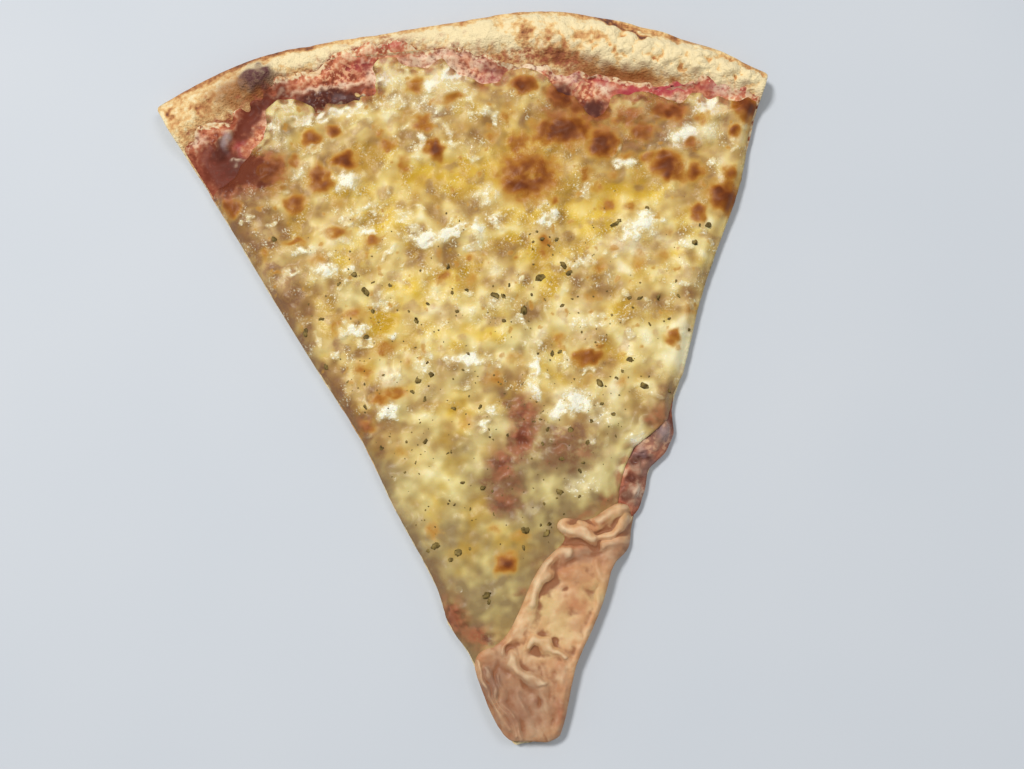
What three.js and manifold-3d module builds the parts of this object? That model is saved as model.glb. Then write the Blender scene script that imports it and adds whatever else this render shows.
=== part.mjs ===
// A wedge of thin-crust cheese pizza, an eighth of an 18 inch pie, lying flat.
// Four pieces lie on each other: the crust, the tomato sauce, the melted cheese with its dried herbs,
// and a wrinkled sheet of cheese that has folded over the tip.
// Units are millimetres. Every height and outline is written about the pie's centre, where the two cuts
// would meet, with +Y along the wedge to the rim; the group then moves the wedge over its own origin.
import * as THREE from "three";
import { mergeVertices } from "three/addons/utils/BufferGeometryUtils.js";
import Module from "manifold-3d";

const wasm = await Module();
wasm.setup();

// Driving dimensions
const PIE_RADIUS = 228; // half of an 18 inch pie
const LEFT_CUT = -24; // degrees from +Y to the left cut
const RIGHT_CUT = 23.5; // degrees from +Y to the right cut
const TIP_RADIUS = 13.5; // where the tip of the crust ends
const BASE_THICKNESS = 2.8; // dough under the sauce
const OUTER_WALL = 3; // top of the rim's outer face, where its round shoulder starts
const UNDERCUT = 1.2; // how far the rim's lower edge curves up off the table
const UNDERCUT_WIDTH = 3.5;
const SAUCE_THICKNESS = 0.9;
const CHEESE_THICKNESS = 2.3;
const CHEESE_UNDER_FOLD = 0.9;
const FOLD_THICKNESS = 1.5;
const GAP = 0.3; // between two pieces that lie on each other
const CENTRE_OF_WEDGE = [-4.2, 119.7]; // middle of the wedge's own box, from the pie's centre

// Small helpers
const degrees = THREE.MathUtils.radToDeg;
const radians = THREE.MathUtils.degToRad;
const smooth = (from, to, x) => THREE.MathUtils.smoothstep(x, from, to);
const mix = THREE.MathUtils.lerp;
const angleOf = (x, y) => degrees(Math.atan2(x, y));

// A smooth function through a few [station, value] pairs, flat beyond the first and the last.
function through(stations) {
  const slopeAt = (i) => {
    const a = stations[Math.max(i - 1, 0)];
    const b = stations[Math.min(i + 1, stations.length - 1)];
    return (b[1] - a[1]) / (b[0] - a[0]);
  };
  return (at) => {
    const last = stations.length - 1;
    if (at <= stations[0][0]) return stations[0][1];
    if (at >= stations[last][0]) return stations[last][1];
    const i = stations.findIndex((s) => s[0] > at) - 1;
    const [x0, y0] = stations[i];
    const [x1, y1] = stations[i + 1];
    const span = x1 - x0;
    const t = (at - x0) / span;
    const bend = t * (1 - t);
    return (
      mix(y0, y1, t * t * (3 - 2 * t)) +
      span * bend * ((1 - t) * slopeAt(i) - t * slopeAt(i + 1))
    );
  };
}

// Soft lumps about 9 mm apart, between about -1 and 1, from a few crossing waves.
const WAVES = [
  [0.61, 0.22, 0.4],
  [-0.35, 0.58, 1.9],
  [0.17, -0.71, 4.1],
  [0.83, 0.47, 2.6],
  [-0.66, -0.39, 5.3],
];
const lumps = (x, y) =>
  WAVES.reduce((sum, [kx, ky, phase]) => sum + Math.sin(kx * x + ky * y + phase), 0) / 2.6;

// A round-topped bump: a full dome at its centre that is gone at about twice its radius.
const dome = (x, y, [cx, cy, radius, height, stretch = 1, turn = 0]) => {
  const c = Math.cos(radians(turn));
  const s = Math.sin(radians(turn));
  const along = ((x - cx) * c + (y - cy) * s) / stretch;
  const across = (y - cy) * c - (x - cx) * s;
  const spread = (along * along + across * across) / (radius * radius);
  return height * Math.exp(-(spread ** 1.3));
};
const domes = (x, y, list) => list.reduce((sum, one) => sum + dome(x, y, one), 0);

// A rounded ridge along a few points: [height, half width, points].
function ridge(x, y, [height, halfWidth, points]) {
  let nearest = Infinity;
  for (let i = 1; i < points.length; i += 1)
    nearest = Math.min(nearest, distanceToSegment(x, y, points[i - 1], points[i]));
  return height * Math.exp(-((nearest / halfWidth) ** 2));
}
function distanceToSegment(x, y, [ax, ay], [bx, by]) {
  const lengthSquared = (bx - ax) ** 2 + (by - ay) ** 2;
  const t = THREE.MathUtils.clamp(((x - ax) * (bx - ax) + (y - ay) * (by - ay)) / lengthSquared, 0, 1);
  return Math.hypot(x - mix(ax, bx, t), y - mix(ay, by, t));
}

// How far a point is inside a closed outline of Vector2; negative outside.
function depthInside(outline, x, y) {
  let nearest = Infinity;
  let inside = false;
  outline.forEach((a, i) => {
    const b = outline[(i + 1) % outline.length];
    nearest = Math.min(nearest, distanceToSegment(x, y, [a.x, a.y], [b.x, b.y]));
    if (a.y > y !== b.y > y && x < ((b.x - a.x) * (y - a.y)) / (b.y - a.y) + a.x) inside = !inside;
  });
  return inside ? nearest : -nearest;
}

// The outer edge of the rim is the pie's circle, a little flattened towards the right.
const rimBulge = through([
  [-24, 2.5], [-17, 3], [-7.5, -1], [0, -1], [5, 0.7], [10, -1], [16, -4], [24, -8.5],
]);
const outerRadius = (angle) => PIE_RADIUS + rimBulge(angle);
const insetFromRim = (x, y) => outerRadius(angleOf(x, y)) - Math.hypot(x, y);

// Each cut is a straight line from the pie's centre that strays outwards by a few millimetres.
const crustStrayLeft = through([
  [16, 2.4], [24, 3.4], [31, 2.2], [42, 1], [53, 2.2], [64, -0.2], [90, -0.6], [112, -2], [134, -0.8],
  [160, 0.4], [193, 1.4], [228, 3],
]);
const crustStrayRight = through([
  [15, -0.6], [34, -2.4], [58, -0.8], [72, 0.8], [100, 2], [130, 2.6], [150, 1.3], [186, 2.5],
  [200, 0.8], [222, 0.5],
]);
const cheeseStrayRight = through([
  [36, -2.4], [70, -1], [80, -3.4], [92, -5.2], [103, -3.2], [109, 2.6], [118, 3.6], [130, 2.8], [150, 1.4],
  [186, 2.6], [200, 0.6], [222, 0],
]);
const sauceStrayRight = through([
  [30, -2.6], [68, 0], [77, -0.6], [83, 2.8], [88, 3], [94, 1.6], [99, 3.6], [103, 6.2], [109, 5.8],
  [116, 2.6], [130, 2.2], [150, 1], [186, 2.2], [222, 0],
]);

// The point at a radius along a cut, strayed outwards and then drawn back by an inset.
function onCut(cut, stray, radius, inset = 0) {
  const side = Math.sign(cut);
  const a = radians(cut);
  const out = (stray(radius) - inset) * side;
  const x = radius * Math.sin(a) + out * Math.cos(a);
  const y = radius * Math.cos(a) - out * Math.sin(a);
  return new THREE.Vector2(x, y);
}

// A wedge's outline: up the left cut, round the rim at an inset from the outer edge, and down the right cut.
function wedge({ from, rimInset, strayLeft, strayRight, inset, cutSteps, rimSteps }) {
  const outline = [];
  const rimPoint = (angle) => {
    const radius = outerRadius(angle) - rimInset(angle);
    return new THREE.Vector2(radius * Math.sin(radians(angle)), radius * Math.cos(radians(angle)));
  };
  const endOf = (cut, stray) => {
    const radius = outerRadius(cut) - rimInset(cut);
    const corner = onCut(cut, stray, radius, inset);
    return [corner.length(), angleOf(corner.x, corner.y)];
  };
  const [leftEnd, leftAngle] = endOf(LEFT_CUT, strayLeft);
  const [rightEnd, rightAngle] = endOf(RIGHT_CUT, strayRight);
  for (let i = 0; i < cutSteps; i += 1)
    outline.push(onCut(LEFT_CUT, strayLeft, mix(from, leftEnd, i / cutSteps), inset));
  for (let i = 0; i <= rimSteps; i += 1) outline.push(rimPoint(mix(leftAngle, rightAngle, i / rimSteps)));
  for (let i = cutSteps - 1; i >= 0; i -= 1)
    outline.push(onCut(RIGHT_CUT, strayRight, mix(from, rightEnd, i / cutSteps), inset));
  return outline;
}

// How far in from the outer edge the sauce and the cheese stop, by angle.
const sauceInset = through([
  [-24, 15], [-19, 12.5], [-14, 9], [-9.5, 4.5], [-6, 4], [-2.5, 8], [1.5, 13], [7, 17], [13.5, 17],
  [18, 12], [24, 7],
]);
const cheeseInset = through([
  [-24, 32], [-19.5, 25], [-15.5, 14], [-13, 21], [-9.5, 17], [-6.5, 9], [-4, 13], [-1, 14.5],
  [2.2, 20], [5, 17], [7.5, 28], [10.5, 28], [12.5, 22], [17, 17], [20, 12.5], [24, 9],
]);

// The rim rises to a low crest; it is fattest at the right, where the dough puffed up.
const rimCrest = through([
  [-24, 7.2], [-17, 8], [-8, 7.4], [0, 8.2], [8, 10.4], [15, 11], [21, 9.6], [24, 8.4],
]);
const RIM_SHOULDER = 0.4; // where the crest lies, as a share of the rim's width
const RIM_SLOPE = 5; // how far the rim's inner slope runs on under the sauce
const CRUST_BUBBLES = [
  [-65, 215.5, 3.6, 2, 1.5, -8],
  [16, 219.5, 3, 0.9],
  [-86, 206, 3.5, 0.7],
  [47, 208.5, 5, 0.9, 2.2, -22],
  [68, 206, 4, 0.6, 2, -25],
  [-8, 222, 4, 0.5, 2.5, 4],
];
const rimCrumple = (x, y) => 0.3 * lumps(0.9 * x + 40, 0.9 * y);

const crustBottom = (x, y) =>
  UNDERCUT * Math.max(0, 1 - Math.max(insetFromRim(x, y), 0) / UNDERCUT_WIDTH) ** 2;

function crustTop(x, y) {
  const inset = insetFromRim(x, y);
  const width = sauceInset(angleOf(x, y)) + RIM_SLOPE;
  const crestInset = RIM_SHOULDER * width;
  const crest = rimCrest(angleOf(x, y)) + domes(x, y, CRUST_BUBBLES) + rimCrumple(x, y);
  if (inset >= crestInset) return mix(crest, BASE_THICKNESS, smooth(crestInset, width, inset));
  const shoulder = 1 - Math.max(inset, 0) / crestInset;
  return mix(OUTER_WALL, crest, Math.sqrt(1 - shoulder ** 2.4));
}

// Sauce: baked dark and blistered along the rim, and squeezed out in lumps at the right cut.
const SAUCE_BLISTERS = [
  [-47, 206.5, 3, 1.3, 2.2, 2],
  [-76, 196.5, 2.2, 1.7, 2.6, 75],
  [-71, 190, 3, 0.8],
  [25.5, 201, 3.6, 1.1, 1.2, 70],
  [36, 195.5, 2.8, 0.9],
  [-36, 217, 4, 0.6, 1.6, 10],
];
const SAUCE_LUMPS = [
  [44.5, 97, 4.6, 2.4, 1.3, 60],
  [34.8, 79.5, 3, 2.2],
  [39.5, 86.5, 2.6, 1.3, 1.8, 62],
  [-22.5, 50.5, 3, 1.4, 1.2, 60],
];
const sauceTop = (x, y) =>
  crustTop(x, y) + GAP + SAUCE_THICKNESS + domes(x, y, SAUCE_BLISTERS) + domes(x, y, SAUCE_LUMPS);

// Cheese: [x, y, radius, height, stretch, turn] of its browned blisters and its soft pale mounds.
const BLISTERS = [
  [13, 178, 5, 1], [36, 184.5, 4, 1.1], [54.5, 176, 4, 1], [62, 173, 3.4, 0.8], [70, 164.5, 4.4, 1.2],
  [61.5, 160.5, 2.8, 0.6], [80, 191.5, 3.4, 1.1], [57, 193.5, 3.2, 0.9], [-64.5, 186.5, 4.8, 1.3],
  [-41.5, 187, 3, 0.7], [-57, 176, 3.2, 0.7], [-75.5, 175, 2.6, 0.8], [-14, 187.5, 2.8, 0.7],
  [15, 205, 3, 1], [-23.5, 184, 3.2, 0.6], [24.5, 120.5, 3.6, 0.7], [-5.5, 64, 3.4, 0.6],
  [50, 125, 2.8, 0.5], [-43, 140, 3.6, 0.6], [-40.5, 124, 3, 0.5], [-47, 182, 3, 0.6],
  [-2.5, 117.5, 3.6, 0.5],
];
const MOUNDS = [
  [-58, 205, 5, 1.4, 1.2, 60], [-41, 180.5, 3.4, 1], [-45, 201, 3.4, 0.9, 3, 5],
  [61, 184, 4.6, 1.3, 1.3, -10], [70, 193, 4.4, 1, 1.3, -30], [45, 158, 5, 1.3, 1.2, 25],
  [-12, 163, 3.6, 1, 2.6, 8], [16.5, 164.5, 3.6, 0.9, 1.2, 50], [-36, 111, 4, 1.1, 1.2, 20],
  [-57, 161, 3.4, 0.8, 1.5, 8], [-50, 155, 3.6, 0.8], [-10, 124, 4.4, 1], [11, 113, 4.6, 1.2, 1.3, 80],
  [18, 107, 4, 1, 1.4, -20], [16, 95, 7, 1.1, 1.1, -10], [-6, 104, 3.6, 0.8], [36, 94, 3.4, 1.1],
  [-10, 210, 4, 0.8, 1.8, 0], [-44, 136, 3.6, 0.7, 1.4, 0], [26, 212, 3, 0.4], [15, 83, 2.6, 0.6],
];
const CHEESE_ROUNDING = 2.4; // how far in from its edge the cheese takes to reach its full height
const CHEESE_LIP = 0.7; // height of its edge

// The sheet folded over the tip: its outline and its wrinkles as [height, half width, points].
const FOLD_OUTLINE = new THREE.SplineCurve(
  [
    [12, 67.5], [6, 63], [1.5, 57], [-2, 50.5], [-6, 44], [-10, 40.5], [-15, 39], [-17, 35],
    [-15.2, 27], [-13, 20], [-9.4, 13.5], [-4, 12.6], [5, 12.2], [9.5, 24], [12.5, 33], [18.5, 43],
    [23, 52], [26, 60], [31, 64], [32.5, 70], [34, 75], [31.5, 78.2], [26, 76.5], [20, 73.5], [13, 75],
    [10.5, 72.5], [13, 69.5],
  ].map(([x, y]) => new THREE.Vector2(x, y)),
);
const WRINKLES = [
  [2, 1.5, [[12.5, 73], [18, 69.5], [24, 69], [30, 72.3]]],
  [2.3, 1.8, [[20.5, 71], [26, 75], [31, 76.6], [32.4, 75]]],
  [1.7, 1.6, [[11.5, 66], [7, 62], [3, 57], [0, 52], [-3, 47.5]]],
  [1.3, 1.2, [[-3, 39.5], [1, 40.8], [4, 38.5], [8, 35.5]]],
  [1.3, 1.3, [[-7.5, 35.5], [-4, 33], [-1, 30], [2.5, 28]]],
  [0.9, 1.1, [[-15, 37], [-14.6, 31], [-12, 25], [-8.5, 18]]],
  [0.7, 1.1, [[-11, 33], [-9, 27], [-6, 20], [-4.5, 15]]],
];
const FOLD_ROUNDING = 1.6;
const FOLD_LIP = 0.6;
const foldOutline = FOLD_OUTLINE.getPoints(56);

const crustOutline = wedge({
  from: TIP_RADIUS, rimInset: () => 0, strayLeft: crustStrayLeft, strayRight: crustStrayRight,
  inset: 0, cutSteps: 22, rimSteps: 36,
});
const sauceOutline = wedge({
  from: TIP_RADIUS + 1.5, rimInset: sauceInset, strayLeft: crustStrayLeft, strayRight: sauceStrayRight,
  inset: 0.4, cutSteps: 32, rimSteps: 24,
});
const cheeseOutline = wedge({
  from: TIP_RADIUS + 0.6, rimInset: cheeseInset, strayLeft: crustStrayLeft, strayRight: cheeseStrayRight,
  inset: 0.2, cutSteps: 32, rimSteps: 44,
});

// The cheese is thin and even where the folded sheet lies on it.
function cheeseTop(x, y) {
  const open = smooth(-1, 7, -depthInside(foldOutline, x, y));
  const rise = smooth(-0.2, CHEESE_ROUNDING, depthInside(cheeseOutline, x, y));
  const relief = 0.35 * lumps(x, y) + domes(x, y, BLISTERS) + domes(x, y, MOUNDS) - domes(x, y, SAUCE_LUMPS);
  const full = mix(CHEESE_UNDER_FOLD, CHEESE_THICKNESS + relief, open);
  return sauceTop(x, y) + GAP + mix(CHEESE_LIP, Math.max(full, CHEESE_LIP), Math.sqrt(rise));
}

function foldTop(x, y) {
  const rise = Math.sqrt(smooth(-0.2, FOLD_ROUNDING, depthInside(foldOutline, x, y)));
  const wrinkles = WRINKLES.reduce((highest, one) => Math.max(highest, ridge(x, y, one)), 0);
  const full = FOLD_THICKNESS + wrinkles + 0.2 * lumps(1.3 * x, 1.3 * y);
  return cheeseTop(x, y) + GAP + mix(FOLD_LIP, full, rise);
}

// A closed block whose top follows a height. Its grid is a fan about a point behind the pie's centre,
// with `columns` across it and one row at each of `rows` from that point.
const FAN_CENTRE = -20;
const FAN_HALF_ANGLE = 25;
const BLOCK_FLOOR = -6;
function block(height, { columns, rows }) {
  const geometry = new THREE.BoxGeometry(1, 1, 1, columns, rows.length - 1, 1);
  const position = geometry.getAttribute("position");
  for (let i = 0; i < position.count; i += 1) {
    const angle = radians(2 * FAN_HALF_ANGLE * position.getX(i));
    const radius = rows[Math.round((position.getY(i) + 0.5) * (rows.length - 1))];
    const x = radius * Math.sin(angle);
    const y = FAN_CENTRE + radius * Math.cos(angle);
    position.setXYZ(i, x, y, position.getZ(i) > 0 ? height(x, y) : BLOCK_FLOOR);
  }
  return solidOf(geometry);
}
function prism(outline) {
  const geometry = new THREE.ExtrudeGeometry(new THREE.Shape(outline), { depth: 60, bevelEnabled: false });
  return solidOf(geometry.translate(0, 0, BLOCK_FLOOR - 2));
}

// Rows from one distance to another, about a step apart.
const rowsBetween = (from, to, step) => {
  const count = Math.max(1, Math.round((to - from) / step));
  return Array.from({ length: count + 1 }, (_, i) => mix(from, to, i / count));
};

// A three.js geometry as a manifold solid, and back.
function solidOf(geometry) {
  const bare = new THREE.BufferGeometry().setAttribute("position", geometry.getAttribute("position"));
  if (geometry.index) bare.setIndex(geometry.index);
  const merged = mergeVertices(bare, 1e-4);
  return new wasm.Manifold(
    new wasm.Mesh({
      numProp: 3,
      vertProperties: new Float32Array(merged.getAttribute("position").array),
      triVerts: new Uint32Array(merged.index.array),
    }),
  );
}
function meshOf(name, solid, material) {
  const largest = solid.decompose().reduce((a, b) => (a.volume() > b.volume() ? a : b));
  const { vertProperties, triVerts } = largest.getMesh();
  const geometry = new THREE.BufferGeometry();
  geometry.setAttribute("position", new THREE.BufferAttribute(new Float32Array(vertProperties), 3));
  geometry.setIndex(new THREE.BufferAttribute(new Uint32Array(triVerts), 1));
  const mesh = new THREE.Mesh(geometry, material);
  mesh.name = name;
  return mesh;
}

// The grids: fine rows where the rim, the squeezed-out sauce and the folds are, coarse rows elsewhere.
const BOTTOM_GRID = { columns: 20, rows: [30, 240, ...rowsBetween(244, 256, 2)] };
const CRUST_GRID = {
  columns: 40,
  rows: [30, 60, 90, ...rowsBetween(99, 127, 4.7), 160, 190, 213, ...rowsBetween(221, 243, 3.7),
    ...rowsBetween(245, 256, 1.8)],
};
const CHEESE_GRID = { columns: 42, rows: [...rowsBetween(30, 78, 16), ...rowsBetween(82, 248, 4.2)] };
const FOLD_GRID = { columns: 34, rows: rowsBetween(30, 102, 2.2) };

// One layer: what lies under its top surface, inside its outline and just above what carries it.
// The carrier is the same block that shaped the piece below, raised by the gap, so the two never meet.
const layer = (top, grid, outline, carrier, carrierGrid) =>
  block(top, grid).intersect(prism(outline)).subtract(block(carrier, carrierGrid));
const raised = (height) => (x, y) => height(x, y) + GAP;

const makeCrust = () => layer(crustTop, CRUST_GRID, crustOutline, crustBottom, BOTTOM_GRID);
const makeSauce = () => layer(sauceTop, CRUST_GRID, sauceOutline, raised(crustTop), CRUST_GRID);

// Dried herbs: flat flakes half pressed into the cheese. The large ones lie at set places, as [x, y],
// and the small ones are strewn over the open cheese, clear of the fold.
const LARGE_FLAKES = [
  [-63.5, 165.5], [-41.5, 152.5], [-38.5, 147], [-56, 136.5], [-51.5, 126], [-13.5, 152], [7.5, 152.5],
  [13.5, 146], [22, 147.5], [-0.8, 142], [8, 136.5], [38, 160], [64.5, 157], [60, 152], [47.5, 137],
  [42, 137], [37, 118.5], [14, 123], [29, 124], [-26, 119], [-21.5, 121], [40.5, 110.5], [27.5, 113],
  [-25, 101], [-16, 110], [-8, 109.5], [-9.5, 86], [12.5, 83], [1.5, 72.5], [-25, 70.5], [-18, 68],
  [-21, 66], [-12, 55], [17.5, 100],
];
const LARGE_FLAKE = { length: [1.3, 1.8], width: [0.6, 1] }; // half lengths and half widths
const SMALL_FLAKE = { length: [0.8, 1.1], width: [0.4, 0.6] };
const FLAKE_HALF_THICKNESS = 0.42;
const FLAKE_RISE = 0.12; // how far the middle of a flake stands above the cheese
const SMALL_FLAKES = 36;
const STREWN = { from: 62, to: 160, halfAngle: 17, clearOfFold: 2 };
function flake({ length, width }, x, y, draw) {
  const shape = new THREE.OctahedronGeometry(1, 0);
  shape.scale(mix(...length, draw()), mix(...width, draw()), FLAKE_HALF_THICKNESS);
  shape.rotateZ(Math.PI * draw());
  return solidOf(shape.translate(x, y, cheeseTop(x, y) + FLAKE_RISE));
}
function makeFlakes() {
  const draw = seededDraw(11);
  const flakes = LARGE_FLAKES.map(([x, y]) => flake(LARGE_FLAKE, x, y, draw));
  for (let i = 0; i < SMALL_FLAKES; i += 1) {
    const radius = mix(STREWN.from, STREWN.to, draw());
    const angle = radians(mix(-STREWN.halfAngle, STREWN.halfAngle, draw()));
    const x = radius * Math.sin(angle);
    const y = radius * Math.cos(angle);
    if (depthInside(foldOutline, x, y) < -STREWN.clearOfFold) flakes.push(flake(SMALL_FLAKE, x, y, draw));
  }
  return flakes;
}
function seededDraw(seed) {
  let state = seed;
  return () => {
    state = (state * 48271) % 2147483647;
    return state / 2147483647;
  };
}

function makeCheese() {
  const plain = layer(cheeseTop, CHEESE_GRID, cheeseOutline, raised(sauceTop), CRUST_GRID);
  return makeFlakes().reduce((solid, one) => solid.add(one), plain);
}
const makeFold = () => layer(foldTop, FOLD_GRID, foldOutline, raised(cheeseTop), CHEESE_GRID);

const crustMaterial = new THREE.MeshStandardMaterial({ color: 0xd9a862, roughness: 0.8, metalness: 0 });
const sauceMaterial = new THREE.MeshStandardMaterial({ color: 0x9c3a22, roughness: 0.4, metalness: 0 });
const cheeseMaterial = new THREE.MeshStandardMaterial({ color: 0xe6cf86, roughness: 0.35, metalness: 0 });
const foldMaterial = new THREE.MeshStandardMaterial({ color: 0xdcae84, roughness: 0.4, metalness: 0 });

const slice = new THREE.Group();
slice.add(meshOf("crust", makeCrust(), crustMaterial));
slice.add(meshOf("tomato_sauce", makeSauce(), sauceMaterial));
slice.add(meshOf("melted_cheese", makeCheese(), cheeseMaterial));
slice.add(meshOf("folded_cheese", makeFold(), foldMaterial));
slice.position.set(-CENTRE_OF_WEDGE[0], -CENTRE_OF_WEDGE[1], 0);

export default slice;
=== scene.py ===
# %% [markdown]
# A slice of cheese pizza, dressed over its CAD model. The real slice is four layers: a sheet of baked
# dough with a puffed rim, a smear of tomato sauce, melted cheese with dried herbs, and a skin of cheese
# that folded over the tip. The CAD pieces give each layer's outline and height. Here each one gets a
# fine skin in its place, with the blisters, wrinkles and crumb that a few thousand triangles can't hold.

# %% Load the frame
import math
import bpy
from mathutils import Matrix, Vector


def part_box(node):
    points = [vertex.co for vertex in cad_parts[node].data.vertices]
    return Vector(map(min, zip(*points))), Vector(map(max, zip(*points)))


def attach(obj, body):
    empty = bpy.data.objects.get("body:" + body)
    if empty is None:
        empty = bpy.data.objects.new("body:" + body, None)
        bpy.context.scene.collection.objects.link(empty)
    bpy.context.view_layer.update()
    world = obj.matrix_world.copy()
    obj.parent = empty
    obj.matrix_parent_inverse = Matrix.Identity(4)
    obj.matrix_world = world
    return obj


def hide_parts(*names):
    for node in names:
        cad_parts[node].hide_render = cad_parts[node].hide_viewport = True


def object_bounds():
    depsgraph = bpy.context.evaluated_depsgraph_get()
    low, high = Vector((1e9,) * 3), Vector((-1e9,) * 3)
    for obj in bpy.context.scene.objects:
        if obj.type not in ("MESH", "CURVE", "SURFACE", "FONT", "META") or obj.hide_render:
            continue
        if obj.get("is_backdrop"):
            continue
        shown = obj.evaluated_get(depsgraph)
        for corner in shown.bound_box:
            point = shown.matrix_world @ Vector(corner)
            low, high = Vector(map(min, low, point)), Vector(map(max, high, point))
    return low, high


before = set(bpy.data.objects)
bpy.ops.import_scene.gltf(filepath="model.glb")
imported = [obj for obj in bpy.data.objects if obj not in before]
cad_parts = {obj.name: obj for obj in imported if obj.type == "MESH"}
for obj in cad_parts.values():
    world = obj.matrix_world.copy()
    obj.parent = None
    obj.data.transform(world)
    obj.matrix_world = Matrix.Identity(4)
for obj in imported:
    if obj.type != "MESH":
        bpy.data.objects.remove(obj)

from types import SimpleNamespace

import bmesh
import bpy
import numpy as np
from mathutils import Matrix, Vector, kdtree, noise
from mathutils.bvhtree import BVHTree

MM = 0.001
CAD_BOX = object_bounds()
print("CAD nodes:", ", ".join(sorted(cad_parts)))

# %% [markdown]
# All places below are in millimetres from the middle of the whole pizza, with Y along the slice to its
# rim, because that is how a slice is measured: the cuts are straight lines from the middle, and the rim
# is a circle round it. One matrix takes them to the frame's metres.

# %% The pizza's own millimetres
PIE_MIDDLE = Vector((4.2, -119.7, 0.0))  # where the two cuts would meet, in the frame's millimetres
TO_FRAME = Matrix.Scale(MM, 4) @ Matrix.Translation(PIE_MIDDLE)
TO_PIE = TO_FRAME.inverted()

# %% [markdown]
# The relief could be sculpted by hand, or worked out by a noise texture and a Displace modifier. Here it
# is worked out as numbers on a square raster over each layer, a patch, because blisters, folds and stains
# can then be placed to the millimetre and shared by the shape and the colours. Blurring is the tool used
# most: in a raster it is a multiplication of the waves that the field is made of.

# %% A raster's blur
def blur(field, size, step):
    """The field softened over a distance of size mm."""
    up = np.fft.fftfreq(field.shape[0], step)[:, None]
    across = np.fft.rfftfreq(field.shape[1], step)[None, :]
    kept = np.exp(-2 * (np.pi * size) ** 2 * (up**2 + across**2))
    return np.fft.irfft2(np.fft.rfft2(field) * kept, field.shape)


def smoothstep(low, high, value):
    t = np.clip((value - low) / (high - low), 0, 1)
    return t * t * (3 - 2 * t)


def mix(a, b, share):
    return a + (b - a) * share


# %% [markdown]
# Looking straight down on a CAD piece at every point of the raster gives its height, and where nothing is
# met is its outside. Softening both takes the flat facets away and leaves a smooth outline, which is where
# the level is one half. The CAD piece itself is left alone: the looking is done on a merged copy.

# %% Lay a patch over a CAD piece
MARGIN = 8.0  # mm of empty raster round a piece, so that softening doesn't wrap round
FAR = 50.0  # mm from the floor, well clear of the slice
OUTLINE_SOFTNESS = 0.7
HEIGHT_SOFTNESS = 1.1


def merged_tree(node):
    """A CAD piece as something to look at, in the pizza's millimetres."""
    bm = bmesh.new()
    bm.from_mesh(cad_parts[node].data)
    bmesh.ops.remove_doubles(bm, verts=bm.verts, dist=1e-6)
    bmesh.ops.transform(bm, matrix=TO_PIE, verts=bm.verts)
    tree = BVHTree.FromBMesh(bm)
    bm.free()
    return tree


def look(tree, X, Y, start, way):
    """The height first met from start at each point, and not-a-number where nothing is met."""
    places = zip(X.ravel().tolist(), Y.ravel().tolist())
    hits = (tree.ray_cast((x, y, start), (0, 0, way))[0] for x, y in places)
    return np.array([hit.z if hit else np.nan for hit in hits]).reshape(X.shape)


def smooth_heights(heights, step):
    """Heights softened without their empty surroundings, and carried on a little past the outline."""
    there = np.isfinite(heights)
    weight = blur(there.astype(float), HEIGHT_SOFTNESS, step)
    total = blur(np.where(there, heights, 0.0), HEIGHT_SOFTNESS, step)
    return total / np.maximum(weight, 1e-3)


def nearest(points, places):
    """How far each place is from the nearest of the points."""
    tree = kdtree.KDTree(len(points))
    for i, (x, y) in enumerate(points):
        tree.insert((x, y, 0.0), i)
    tree.balance()
    return np.array([tree.find((x, y, 0.0))[2] for x, y in places])


def distance_inside(patch):
    """How many mm each point of the raster is inside the outline, and 0 outside."""
    inside = patch.level > 0.5
    core = inside.copy()
    for axis in (0, 1):
        for shift in (-1, 1):
            core &= np.roll(inside, shift, axis)
    edge = inside & ~core
    depth = np.zeros(patch.X.shape)
    edge_places, places_inside = (np.stack([patch.X[w], patch.Y[w]], 1).tolist() for w in (edge, inside))
    depth[inside] = nearest(edge_places, places_inside)
    return depth


def lay_patch(node, step):
    low, high = (TO_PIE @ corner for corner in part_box(node))
    xs = np.arange(low.x - MARGIN, high.x + MARGIN, step)
    ys = np.arange(low.y - MARGIN, high.y + MARGIN, step)
    X, Y = np.meshgrid(xs, ys)
    tree = merged_tree(node)
    above = look(tree, X, Y, FAR, -1.0)
    below = look(tree, X, Y, -FAR, 1.0)
    patch = SimpleNamespace(node=node, step=step, X=X, Y=Y, west=xs[0], south=ys[0])
    patch.level = blur(np.isfinite(above).astype(float), OUTLINE_SOFTNESS, step)
    patch.top = smooth_heights(above, step)
    patch.bottom = smooth_heights(below, step)
    patch.depth = distance_inside(patch)
    print(f"{node}: raster of {X.shape[1]} by {X.shape[0]}, up to {np.nanmax(above):.1f} mm high")
    return patch


crust = lay_patch("crust", 0.45)
sauce = lay_patch("tomato_sauce", 0.45)
cheese = lay_patch("melted_cheese", 0.45)
fold = lay_patch("folded_cheese", 0.33)


# %% [markdown]
# The layers lie on each other, so a field of one patch is often wanted on another, or at the points of a
# mesh. It is read between the four nearest points of the raster.

# %% Read a patch anywhere
def sample(patch, field, x, y):
    column = np.clip((x - patch.west) / patch.step, 0, field.shape[1] - 1.001)
    row = np.clip((y - patch.south) / patch.step, 0, field.shape[0] - 1.001)
    c, r = column.astype(int), row.astype(int)
    u, v = column - c, row - r
    low = field[r, c] * (1 - u) + field[r, c + 1] * u
    high = field[r + 1, c] * (1 - u) + field[r + 1, c + 1] * u
    return low * (1 - v) + high * v


def onto(patch, other, field):
    """A field of the other patch, read on this one."""
    return sample(other, field, patch.X, patch.Y)


CUTS = (-24.0, 23.5)  # degrees of the left and the right cut from the Y axis


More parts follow.
